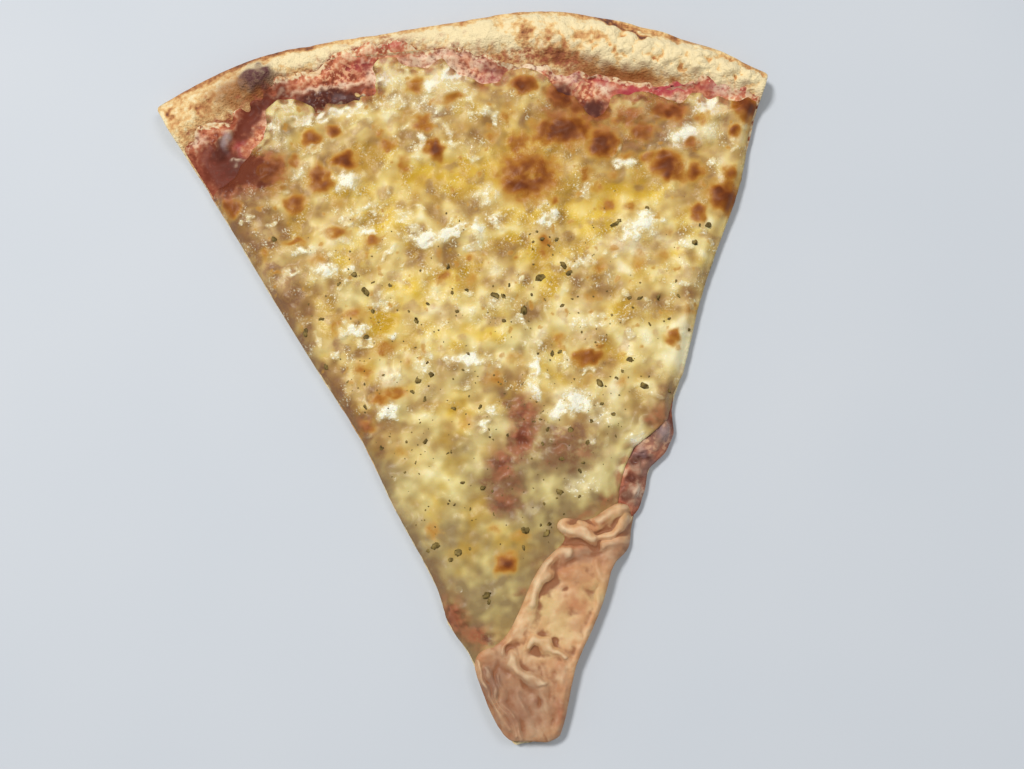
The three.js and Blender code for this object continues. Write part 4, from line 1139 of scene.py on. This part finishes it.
dough_fat_and_slope_shade, dough_saucy, dough_down = (dough.field(name) for name in ("amber", "saucy", "down"))
toasting = dough.plus(dough.field("toast"), dough.spread(specks, 0.66), dough.spread(patches, 0.55))
dough.colour = dough.ramp(toasting, *DOUGH_TOASTING)
dough.coat(SOAKED_FAT_AND_SLOPE_SHADE, dough.times(dough_fat_and_slope_shade, 0.92))
dough.coat(SOAKED_SAUCE, dough.times(dough_saucy, dough.remap(specks, 0.35, 0.6, 0.35, 1.0)))
dough.coat(CHARRED_SKIN, dough.times(dough.field("char"), dough.remap(specks, 0.40, 0.75, 1.0, 0.8)))
crumb = dough.blend(CRUMB_HOLLOW, CRUMB_WALL, dough.remap(dough.speckle(0.8, 2.0), 0.35, 0.55))
dough.coat(crumb, dough.times(dough.field("cut"), dough.remap(dough_down, 0.04, 0.12)))
dough.coat(dough.ramp(dough.speckle(7.0, 4.0), *UNDERSIDE_BAKING), dough.remap(dough_down, 0.86, 0.97))
dough_bump = dough.plus(dough.times(dough.speckle(0.4, 3.0), 0.5), dough.times(dough.speckle(1.2, 2.0), 0.42))
dough_rough = dough.remap(dough.plus(dough_saucy, dough_fat_and_slope_shade), 0.2, 0.9, 0.46, 0.34)
baked_dough = dough.finish(dough_rough, dough_bump, Specular_IOR_Level=0.12)

ragged = shaken(seen, 0.8, 3.0, 73)
browner = (
    spots(ragged, CRUST_TOAST, edge=1.0),
    0.60 * np.exp(-((from_rim / 1.3) ** 2)) * smoothstep(-20, -55, crust.X),
    0.30 * np.exp(-((from_rim / 1.2) ** 2)),
    0.08 * line(shaken(seen, 1.0, 4.0, 71), 7.0, *OUTER_SLOPE),
    # painted shade: browner along the slope below the creamy ridge, which faces away from the light
    0.36 * line(shaken(seen, 1.0, 4.0, 78), 5.0, *INNER_SLOPE),
)
crease_brown = 0.7 * line(shaken(seen, 0.5, 4.0, 72), 2.0, *CREASE)
crust_toast_and_shade = np.maximum.reduce(browner) * (1 - 0.8 * cream_ridge)
crust_toast_and_shade = np.maximum(crust_toast_and_shade, crease_brown) + 0.05 * grain(crust, 5, 75)
# painted light and shade: the browning is made paler on the crests of the relief and browner in its hollows,
# most on the creamy ridge
crust_toast_and_shade -= mix(0.42, 0.75, cream_ridge) * np.clip(crust_top - blur(crust_top, 1.8, crust.step), -0.7, 0.7)
stain = blur(onto(crust, sauce, sauce.level), 2.0, crust.step) + 0.13 * grain(crust, 3.0, 76)
stain = smoothstep(0.15, 0.75, stain) * mix(1.0, 0.4, smoothstep(15, 35, crust.X)) * (crust.Y > 175)
paint(
    crust_skin, crust, toast=crust_toast_and_shade, char=crust_char, amber=amber,
    saucy=np.maximum(spots(ragged, CRUST_SAUCY), stain), cut=smoothstep(3.0, 1.5, np.abs(crust_cut)),
)
serve(crust_skin, baked_dough, "baked_dough", "crust")
print("dough painted")

# %% [markdown]
# Baked tomato sauce is a dark brick red where it dried and a brighter purple red where it stayed wet. It
# is gritty, with orange bits of pulp, and moist, so it has a low roughness, broken up by its grit. Towards
# the dough and the cheese it is mottled with their colours, because all three were smeared together. It is
# painted lighter on the crests of its relief and darker in its hollows, as painted light and shade. Over
# that lie the places of their own: maroon where it is thick, burnt domes, greyish painted highlights on
# glossy domes and knots, and pale films of fat, some of which are painted highlights.

# %% The tomato sauce's finish
PASTE = (
    (0.33, 0.24, 0.06, 0.03), (0.45, 0.50, 0.14, 0.07), (0.56, 0.70, 0.27, 0.14), (0.68, 0.87, 0.55, 0.34),
)
SMEARED_DOUGH, SMEARED_CHEESE = rgb(0.80, 0.52, 0.25), rgb(0.90, 0.76, 0.48)
DULL_BROWN = rgb(0.31, 0.165, 0.12)
WET_RED = rgb(0.46, 0.06, 0.075)
PULP = rgb(0.88, 0.50, 0.28)
MAROON = rgb(0.17, 0.036, 0.019)
BURNT = rgb(0.095, 0.026, 0.018)
GLOSS_HIGHLIGHT_GREY = rgb(0.33, 0.25, 0.26)
PALE_FAT_AND_HIGHLIGHT = rgb(0.90, 0.70, 0.50)
paste = Finish("tomato_sauce")
grit, blotchy, broad = paste.speckle(0.7, 2.0), paste.speckle(2.6, 2.0), paste.speckle(7.0, 1.0)
paste_maroon = paste.field("maroon")
paste_tone = paste.plus(
    paste.times(grit, 0.38), paste.times(blotchy, 0.42), paste.times(broad, 0.20), paste.field("crest")
)
paste.colour = paste.ramp(paste_tone, *PASTE)
smear = paste.plus(paste.field("smeared"), paste.spread(blotchy, 1.2), paste.spread(grit, 0.8))
smear_colour = paste.blend(SMEARED_DOUGH, SMEARED_CHEESE, paste.remap(grit, 0.4, 0.6))
paste.coat(smear_colour, paste.remap(smear, 0.60, 0.85, 0.0, 0.85))
paste.coat(DULL_BROWN, paste.times(paste.field("dull"), 0.85))
paste.coat(WET_RED, paste.field("bright"))
paste.coat(PULP, paste.times(paste.field("grainy"), paste.remap(grit, 0.48, 0.60)))
paste.coat(MAROON, paste.times(paste_maroon, paste.remap(grit, 0.5, 0.8, 1.0, 0.85)))
paste.coat(BURNT, paste.times(paste.field("char"), paste.remap(grit, 0.5, 0.8, 1.0, 0.7)))
# painted highlight: the grey of the light's sheen on glossy domes and knots
paste.coat(GLOSS_HIGHLIGHT_GREY, paste.times(paste.field("ashy"), 0.75))
# pale fat, and at the knots and the thin streak at the left, painted highlights
paste.coat(PALE_FAT_AND_HIGHLIGHT, paste.times(paste.field("pale"), paste.remap(grit, 0.3, 0.55, 0.25, 1.0)))
paste_bump = paste.plus(paste.times(grit, 0.22), paste.times(blotchy, 0.15))
paste_bump = paste.times(paste_bump, paste.remap(paste_maroon, 0.0, 1.0, 1.0, 0.25))
paste_rough = paste.plus(paste.remap(grit, 0.3, 0.7, 0.18, 0.32), paste.times(paste_maroon, 0.22))
tomato_sauce = paste.finish(paste_rough, paste_bump, Specular_IOR_Level=0.08)
near_cheese = smoothstep(0.02, 0.5, blur(onto(sauce, cheese, cheese.level), 1.6, sauce.step))
near_dough = smoothstep(4.0, 0.0, sauce.depth) * smoothstep(150, 170, sauce.Y)
smeared = np.maximum(0.65 * near_cheese, 0.8 * near_dough) * smoothstep(120, 150, sauce.Y)
# painted light and shade: the sauce is painted lighter on the crests of its relief and darker in its hollows
sauce_crest_shade = 0.25 * np.clip(sauce_top - blur(sauce_top, 1.8, sauce.step), -0.5, 0.5)
paint(
    sauce_skin, sauce, char=sauce_char, bright=sauce_bright, grainy=sauce_grainy, pale=sauce_pale,
    maroon=sauce_maroon, dull=sauce_dull, smeared=smeared * (1 - sauce_maroon), crest=sauce_crest_shade,
    ashy=spots(shaken(sauce, 0.4, 3.0, 35), GLOSS_HIGHLIGHTS),
)
serve(sauce_skin, tomato_sauce, "tomato_sauce", "tomato_sauce")
print("sauce painted")

# %% [markdown]
# The cheese's finish is laid on in coats: cream cheese, whose tone carries painted shade at the cuts and
# painted light and shade on its lumps, plainer where it stayed fresh, then golden fat in it, a tan blush
# where the sauce shines through, white curd, partly painted highlight, fine white specks that are painted
# glints, and browning. The stains of sauce come last, because it ran up beside the blisters. Light goes a
# little way into cheese, so it has some subsurface, and the fat makes it shiny, most where it is wet.

# %% The melted cheese's finish
CREAM = (
    (0.0, 0.35, 0.19, 0.062), (0.24, 0.50, 0.305, 0.098), (0.48, 0.67, 0.47, 0.160),
    (0.73, 0.83, 0.655, 0.27), (1.0, 0.94, 0.83, 0.50),
)
PLAIN_CREAM = (
    (0.0, 0.31, 0.215, 0.095), (0.24, 0.46, 0.345, 0.14), (0.48, 0.63, 0.51, 0.21),
    (0.73, 0.80, 0.69, 0.33), (1.0, 0.92, 0.85, 0.54),
)
CHEESE_TOASTING = (
    (0.0, 0.72, 0.46, 0.11), (0.25, 0.60, 0.32, 0.055), (0.45, 0.45, 0.185, 0.028),
    (0.64, 0.31, 0.098, 0.014), (0.84, 0.205, 0.052, 0.009), (1.0, 0.15, 0.036, 0.008),
)
DEEP_GOLD, LIGHT_GOLD = rgb(0.57, 0.33, 0.022), rgb(0.84, 0.58, 0.09)
DEEP_TAN, LIGHT_TAN = rgb(0.25, 0.122, 0.058), rgb(0.53, 0.305, 0.14)
MILKY_FILM_AND_HIGHLIGHT, CURD_AND_HIGHLIGHT, PAINTED_GLINTS = rgb(0.88, 0.76, 0.44), rgb(0.98, 0.945, 0.77), rgb(0.98, 0.93, 0.68)
DARK_STAIN, RED_STAIN, DEEP_STAIN = rgb(0.17, 0.045, 0.022), rgb(0.40, 0.14, 0.066), rgb(0.17, 0.042, 0.020)
melt = Finish("melted_cheese")
fine, medium, broad = melt.speckle(0.5, 2.0), melt.speckle(2.0, 2.0), melt.speckle(6.0, 2.0)
melt_toast, melt_milk, melt_saucy, melt_wet = (melt.field(name) for name in ("toast", "milk", "saucy", "wet"))
melt_tone = melt.plus(
    melt.field("tone"), melt.spread(fine, 0.06), melt.spread(medium, 0.13), melt.spread(broad, 0.26)
)
melt.colour = melt.ramp(melt_tone, *CREAM)
melt.coat(melt.ramp(melt_tone, *PLAIN_CREAM), melt.field("plain"))
gold = melt.blend(DEEP_GOLD, LIGHT_GOLD, melt.remap(melt_tone, 0.2, 0.9))
melt.coat(gold, melt.times(melt.field("oil"), melt.remap(broad, 0.3, 0.6, 0.75, 1.0)))
tan = melt.blend(DEEP_TAN, LIGHT_TAN, melt.remap(melt_tone, 0.15, 0.9))
blush_share = melt.times(melt.field("blush"), melt.remap(melt.plus(fine, medium), 0.85, 1.1, 0.7, 1.0))
melt.coat(tan, melt.times(blush_share, 0.95))
# white curd, partly painted highlight
melt.coat(MILKY_FILM_AND_HIGHLIGHT, melt.remap(melt_milk, 0.08, 0.6, 0.0, 0.75))
curdled = melt.plus(
    melt_milk, melt.spread(medium, 0.5), melt.spread(fine, 1.9), melt.remap(melt_milk, 0.6, 1.0, 0.0, 0.7)
)
curd_share = melt.times(melt.remap(curdled, 0.42, 0.85), melt.remap(melt_milk, 0.02, 0.3))
melt.coat(CURD_AND_HIGHLIGHT, melt.times(curd_share, 0.95))
# painted glints: small white specks where the cheese is wet
glint_specks = melt.remap(melt.speckle(0.4, 1.0), 0.52, 0.74)
melt.coat(PAINTED_GLINTS, melt.times(glint_specks, melt.remap(melt_wet, 0.25, 0.8, 0.0, 0.7)))
browning = melt.plus(melt_toast, melt.spread(medium, 0.12), melt.spread(fine, 0.12))
melt.coat(melt.ramp(browning, *CHEESE_TOASTING), melt.remap(browning, 0.05, 0.46))
stain = melt.blend(DARK_STAIN, RED_STAIN, melt.remap(medium, 0.35, 0.6))
stain = melt.blend(stain, DEEP_STAIN, melt.remap(melt_saucy, 0.9, 1.3))
stain_share = melt.math("MINIMUM", melt.times(melt_saucy, melt.remap(fine, 0.3, 0.6, 0.8, 1.0)), 1.0)
melt.coat(stain, melt.times(stain_share, melt.remap(browning, 0.45, 0.85, 1.0, 0.3)))
melt_rough = melt.plus(melt.remap(melt_wet, 0.05, 0.8, 0.34, 0.12), melt.times(melt_toast, 0.14))
grainy_bump = melt.times(melt.speckle(0.35, 2.0), melt.remap(melt_wet, 0.1, 0.8, 0.03, 0.30))
melt_bump = melt.plus(grainy_bump, melt.times(medium, melt.remap(melt_wet, 0.0, 0.5, 0.05, 0.16)))
melted_cheese = melt.finish(
    melt_rough, melt_bump, Specular_IOR_Level=0.13,
    Subsurface_Weight=0.12, Subsurface_Radius=(1.0, 0.6, 0.25), Subsurface_Scale=MM,
)
paint(
    cheese_skin, cheese, tone=tone, plain=plain, oil=oil, blush=blush, milk=milk, wet=wet, toast=toast,
    saucy=saucy,
)
serve(cheese_skin, melted_cheese, "melted_cheese", "melted_cheese")
print("cheese painted")

# %% [markdown]
# The folded sheet shows its underside, yellow beige stained pink by the sauce, and red where sauce stuck
# to it, which in the hollows under the ridges is partly painted shade. Its ridges are painted paler on
# their crests and darker in the hollows beside them, as painted highlight and shade. The tip is a duller
# mauve.

# %% The folded cheese's finish
# sauce red, and painted shade: the rows at the hollows under the ridges (16, 67; 22, 72; 0, 23.5; 1.5, 37.8;
# 6.5, 39; 11, 55; 14, 50) stand for the shade there
FOLD_RED = (
    (0.6, 18, 57, 12, 9), (0.5, 22, 61, 8, 6), (0.8, 22, 72, 12, 3, 25), (0.8, 16, 66.8, 12, 3.5, -5),
    (0.8, 6.5, 19, 4, 10, 5), (0.7, -10, 41, 10, 3), (0.7, 12, 60, 9, 7, 20), (0.6, 14, 50, 6, 8, 30),
    (0.45, 14, 44, 8, 5), (0.5, 28, 66, 6, 8, 20), (0.5, 9, 27, 4, 9, 10), (0.7, 0, 23.5, 2.4, 3),
    (0.7, 1.5, 37.8, 5, 3), (0.5, 6.5, 39, 4, 3), (0.5, 25, 57, 3, 8, -20), (0.5, -8, 13.5, 6, 3),
    (0.45, 5, 13, 6, 3), (0.5, 14.5, 36, 4, 6, -30), (0.5, 11, 55, 3, 4), (0.5, 8, 33, 4, 6, -20),
    (0.5, -15, 38, 4),
)
# the narrow band at 18, 64 lies under the lip ridge and is painted shade
FOLD_MAUVE = (
    (0.8, -5, 22, 27, 26), (1.0, -12, 30, 10, 20, -20), (0.2, 4, 33, 10, 8), (0.7, 18, 64, 18, 4.5, 10),
    (0.5, 26, 63, 10, 8),
)
FOLD_YELLOW = (
    (0.7, 19, 54, 8, 10), (0.7, 5, 50, 8, 14, -30), (0.6, 9, 44, 12, 10), (0.4, 27, 73, 8, 4, 20),
    (0.5, -12, 28, 5, 14, -20), (0.5, 3, 38, 10, 5),
)
SKIN = ((0.30, 0.50, 0.24, 0.11), (0.46, 0.67, 0.37, 0.18), (0.66, 0.82, 0.57, 0.33))
YELLOW_FAT = rgb(0.68, 0.50, 0.22)
STUCK_SAUCE_AND_SHADE = rgb(0.44, 0.135, 0.055)
MAUVE = rgb(0.29, 0.145, 0.10)
CREST_HIGHLIGHT, HOLLOW_SHADE = rgb(0.80, 0.61, 0.38), rgb(0.30, 0.12, 0.055)
ragged = shaken(fold, 0.6, 3.0, 81)
skin = Finish("folded_cheese")
fine, medium, broad = skin.speckle(0.6, 2.0), skin.speckle(2.0, 2.0), skin.speckle(5.0, 2.0)
skin.colour = skin.ramp(skin.plus(skin.times(medium, 0.5), skin.times(broad, 0.5)), *SKIN)
skin.coat(YELLOW_FAT, skin.field("yellow"))
skin.coat(STUCK_SAUCE_AND_SHADE, skin.times(skin.field("red"), skin.remap(medium, 0.35, 0.6, 0.55, 1.0)))
skin.coat(MAUVE, skin.times(skin.field("mauve"), 0.9))
skin_crest_shade = skin.plus(skin.field("crest"), skin.spread(fine, 0.2))
# painted highlight on the crests and painted shade in the hollows beside the ridges
skin.coat(CREST_HIGHLIGHT, skin.remap(skin_crest_shade, 0.2, 1.0, 0.0, 0.65))
skin.coat(HOLLOW_SHADE, skin.remap(skin_crest_shade, -0.05, -0.45, 0.0, 0.95))
skin_bump = skin.plus(skin.times(fine, 0.07), skin.times(medium, 0.06))
folded_cheese = skin.finish(
    skin.remap(medium, 0.3, 0.7, 0.34, 0.48), skin_bump, Specular_IOR_Level=0.12,
    Subsurface_Weight=0.12, Subsurface_Radius=(1.0, 0.5, 0.3), Subsurface_Scale=MM,
)
paint(
    fold_skin, fold, red=spots(ragged, FOLD_RED), mauve=spots(ragged, FOLD_MAUVE),
    yellow=spots(ragged, FOLD_YELLOW), crest=fold_crest_shade,
)
serve(fold_skin, folded_cheese, "folded_cheese", "folded_cheese")
print("fold painted")

# %% [markdown]
# Dried oregano is crumbled leaf: flat, dark, angular bits from under half a millimetre to four. Each is a
# small icosphere, flattened and dented, and they are all joined in one piece, as hundreds of objects would
# be slow. The large ones have places of their own, and the dust is strewn by a seeded random rule.

# %% The dried herbs
LARGE_FLAKES = (  # x, y, length
    (-64, 165, 2.4), (-41.5, 152.5, 2.4), (-46, 150, 1.6), (-38.5, 147, 3.2), (-31, 148, 1.5),
    (-36, 149.5, 1.4), (-57, 136.5, 2.6), (-52, 140, 1.6), (-37, 141, 1.8), (-39.5, 133.5, 1.8),
    (-52, 126, 1.8), (-24.5, 137, 2.0), (-20.5, 141.5, 1.3), (-12, 138.5, 1.4), (-13.5, 152, 2.0),
    (-13, 144, 1.3), (-8.5, 144.5, 1.5), (-0.5, 142, 2.8), (2, 141.5, 1.8), (4, 144.5, 1.3),
    (7.5, 136.5, 3.2), (1.5, 134, 1.5), (13.5, 146, 3.2), (20.5, 149, 2.8), (22, 146.5, 2.2),
    (19.3, 157, 1.5), (15, 157.5, 1.5), (19, 137, 1.7), (14.5, 123, 2.2), (17, 123.5, 1.5),
    (-21.5, 120.5, 1.8), (-25.5, 119, 2.0), (-27.5, 116, 1.5), (-24, 113.5, 1.5), (-41.5, 113, 1.5),
    (-16, 110, 1.7), (-8, 109.5, 1.5), (-25, 101, 2.0), (-38, 100.5, 1.5), (-15.5, 88, 1.6),
    (-9.5, 86, 2.0), (12.5, 82.5, 2.2), (1.5, 72.5, 2.8), (7.5, 71, 2.6), (8.5, 73.5, 1.6),
    (0.5, 67.5, 1.6), (-25, 70.5, 2.8), (-27, 69.5, 1.5), (-18.5, 68, 2.2), (-21, 66, 1.8),
    (-11.5, 55, 2.8), (-11, 53, 1.8), (37, 119, 2.2), (34.5, 116, 1.2), (32.5, 114, 1.3), (27.5, 113, 2.6),
    (40.5, 111, 2.8), (47.5, 109, 1.8), (27.5, 107, 1.5), (30.5, 103.5, 1.5), (39, 137.5, 1.5),
    (42, 137, 1.8), (47.5, 137, 1.7), (53.5, 136.5, 1.4), (44, 129, 1.3), (50, 130, 1.3),
    (55.5, 126.5, 1.3), (60, 152, 2.2), (64.5, 157, 2.4), (37.5, 160, 4.2), (47, 163.5, 1.4),
    (62, 157, 1.2), (17.5, 100, 2.0), (22, 96, 1.6), (14, 92, 1.6), (24, 102, 1.6), (19, 88, 1.5),
    (9, 97, 1.3), (11, 101, 1.4),
)
DUST = 330  # flakes strewn at random
DUST_LENGTHS, DUST_COMMONNESS = (0.4, 0.55, 0.75, 1.1), (0.4, 0.3, 0.2, 0.1)
DUST_FROM, DUST_TO = 60, 172  # along the slice
DUST_LEFT, DUST_RIGHT = -22, 21  # degrees from the Y axis
LEAF = ((0.3, 0.095, 0.063, 0.018), (0.5, 0.195, 0.132, 0.036), (0.7, 0.33, 0.23, 0.065))
draw = np.random.default_rng(91)
bm = bmesh.new()


def drop_flake(x, y, length, slenderness, subdivisions):
    """A dented, flattened bit of leaf lying on the cheese."""
    z = sample(cheese, cheese_top, np.array([x]), np.array([y]))[0]
    tilt = Matrix.Rotation(draw.uniform(-0.35, 0.35), 4, "X")
    tilt = tilt @ Matrix.Rotation(draw.uniform(0, math.tau), 4, "Z")
    size = Matrix.Diagonal((length / 2, length / 2 * slenderness, max(0.16, 0.11 * length), 1))
    where = Matrix.Translation((x, y, z + 0.04 * length)) @ tilt @ size
    made = bmesh.ops.create_icosphere(bm, subdivisions=subdivisions, radius=1.0, matrix=where)["verts"]
    for v in made:
        v.co += Vector(draw.normal(0, 0.07 * length, 3) * (1, 1, 0.4))


for x, y, length in LARGE_FLAKES:
    slenderness = 0.22 if length > 4 else draw.uniform(0.45, 0.8)
    drop_flake(x, y, length, slenderness, 2)
strewn = 0
while strewn < DUST:
    y = mix(DUST_FROM, DUST_TO, draw.beta(2.0, 1.8))
    x = y * math.tan(math.radians(draw.uniform(DUST_LEFT, DUST_RIGHT)))
    place = np.array([x]), np.array([y])
    if sample(fold, fold.level, *place)[0] < 0.1 and sample(cheese, cheese.depth, *place)[0] > 1.5:
        length = draw.choice(DUST_LENGTHS, p=DUST_COMMONNESS)
        drop_flake(x, y, length, draw.uniform(0.5, 0.9), 1)
        strewn += 1
bmesh.ops.recalc_face_normals(bm, faces=bm.faces)
print(len(LARGE_FLAKES) + strewn, "herb flakes,", len(bm.faces), "faces")

leaf = Finish("dried_herbs")
leaf.colour = leaf.ramp(leaf.speckle(1.0, 2.0), *LEAF)
dried_herbs = leaf.finish(0.6, leaf.times(leaf.speckle(0.4), 0.2), Specular_IOR_Level=0.2)
serve(object_of("dried_herbs", bm), dried_herbs, "melted_cheese")

# %% [markdown]
# The camera looks down on the slice almost from above, a little from the tip. The floor is plain and pale.
# A soft light stands beyond the rim on the left, so that every lump's far side catches it, as a window
# would light food on a table. A larger, weaker one on the right and the sky fill the shadows.

# %% Camera
AZIMUTH, ELEVATION, DISTANCE = math.radians(-5.7), math.radians(84.0), 0.4203
TARGET = Vector((6.1, -4.2, 4.0)) * MM
back = Vector((
    math.sin(AZIMUTH) * math.cos(ELEVATION), -math.cos(AZIMUTH) * math.cos(ELEVATION), math.sin(ELEVATION)
))
right = Vector((math.cos(AZIMUTH), math.sin(AZIMUTH), 0))
camera = bpy.data.objects.new("camera", bpy.data.cameras.new("camera"))
camera.data.lens, camera.data.sensor_width = 50.0, 36.0
camera.data.clip_start = 0.01
camera.matrix_world = Matrix.Translation(TARGET + DISTANCE * back) @ Matrix(
    (right, back.cross(right), back)
).transposed().to_4x4()
bpy.context.scene.collection.objects.link(camera)
bpy.context.scene.camera = camera
print("camera at", [round(v, 3) for v in camera.matrix_world.translation])

# %% Floor and light
FLOOR = 6.0  # metres
bm = bmesh.new()
bmesh.ops.create_grid(bm, x_segments=1, y_segments=1, size=FLOOR / 2)
bmesh.ops.translate(bm, verts=bm.verts, vec=(0, 0, -0.0002))
floor = object_of("floor", bm)
pale = Finish("pale_floor")
pale.colour = pale.blend(rgb(0.58, 0.62, 0.68), rgb(0.62, 0.65, 0.70), pale.speckle(40.0))
floor.data.materials.append(pale.finish(0.6, 0.0))
floor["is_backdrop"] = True

LAMPS = (  # name, place in metres, size, power
    ("window", (-0.80, 0.72, 2.15), 0.5, 38.0),
    ("far window", (0.85, 0.50, 2.15), 0.9, 9.0),
)
for name, place, size, power in LAMPS:
    lamp = bpy.data.objects.new(name, bpy.data.lights.new(name, "AREA"))
    lamp.data.shape, lamp.data.size, lamp.data.energy = "DISK", size, power
    lamp.data.color = (1.0, 0.985, 0.95)
    facing = Vector(place).to_track_quat("Z", "Y").to_matrix().to_4x4()
    lamp.matrix_world = Matrix.Translation(place) @ facing
    bpy.context.scene.collection.objects.link(lamp)
sky = bpy.data.worlds.new("sky")
sky.use_nodes = True
sky.node_tree.nodes["Background"].inputs["Color"].default_value = rgb(0.93, 0.97, 1.0)
sky.node_tree.nodes["Background"].inputs["Strength"].default_value = 0.32
bpy.context.scene.world = sky
bpy.context.scene.view_settings.view_transform = "Standard"
print(len(LAMPS), "lamps")

# %% [markdown]
# The dressed slice should keep the CAD model's size, so both boxes are printed before the end.

# %% Sizes and the end
boxes = {"cad": [list(corner) for corner in CAD_BOX], "visual": [list(corner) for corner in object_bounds()]}
for name, (low, high) in boxes.items():
    print(name, "box in mm:", [round((b - a) / MM, 2) for a, b in zip(low, high)])
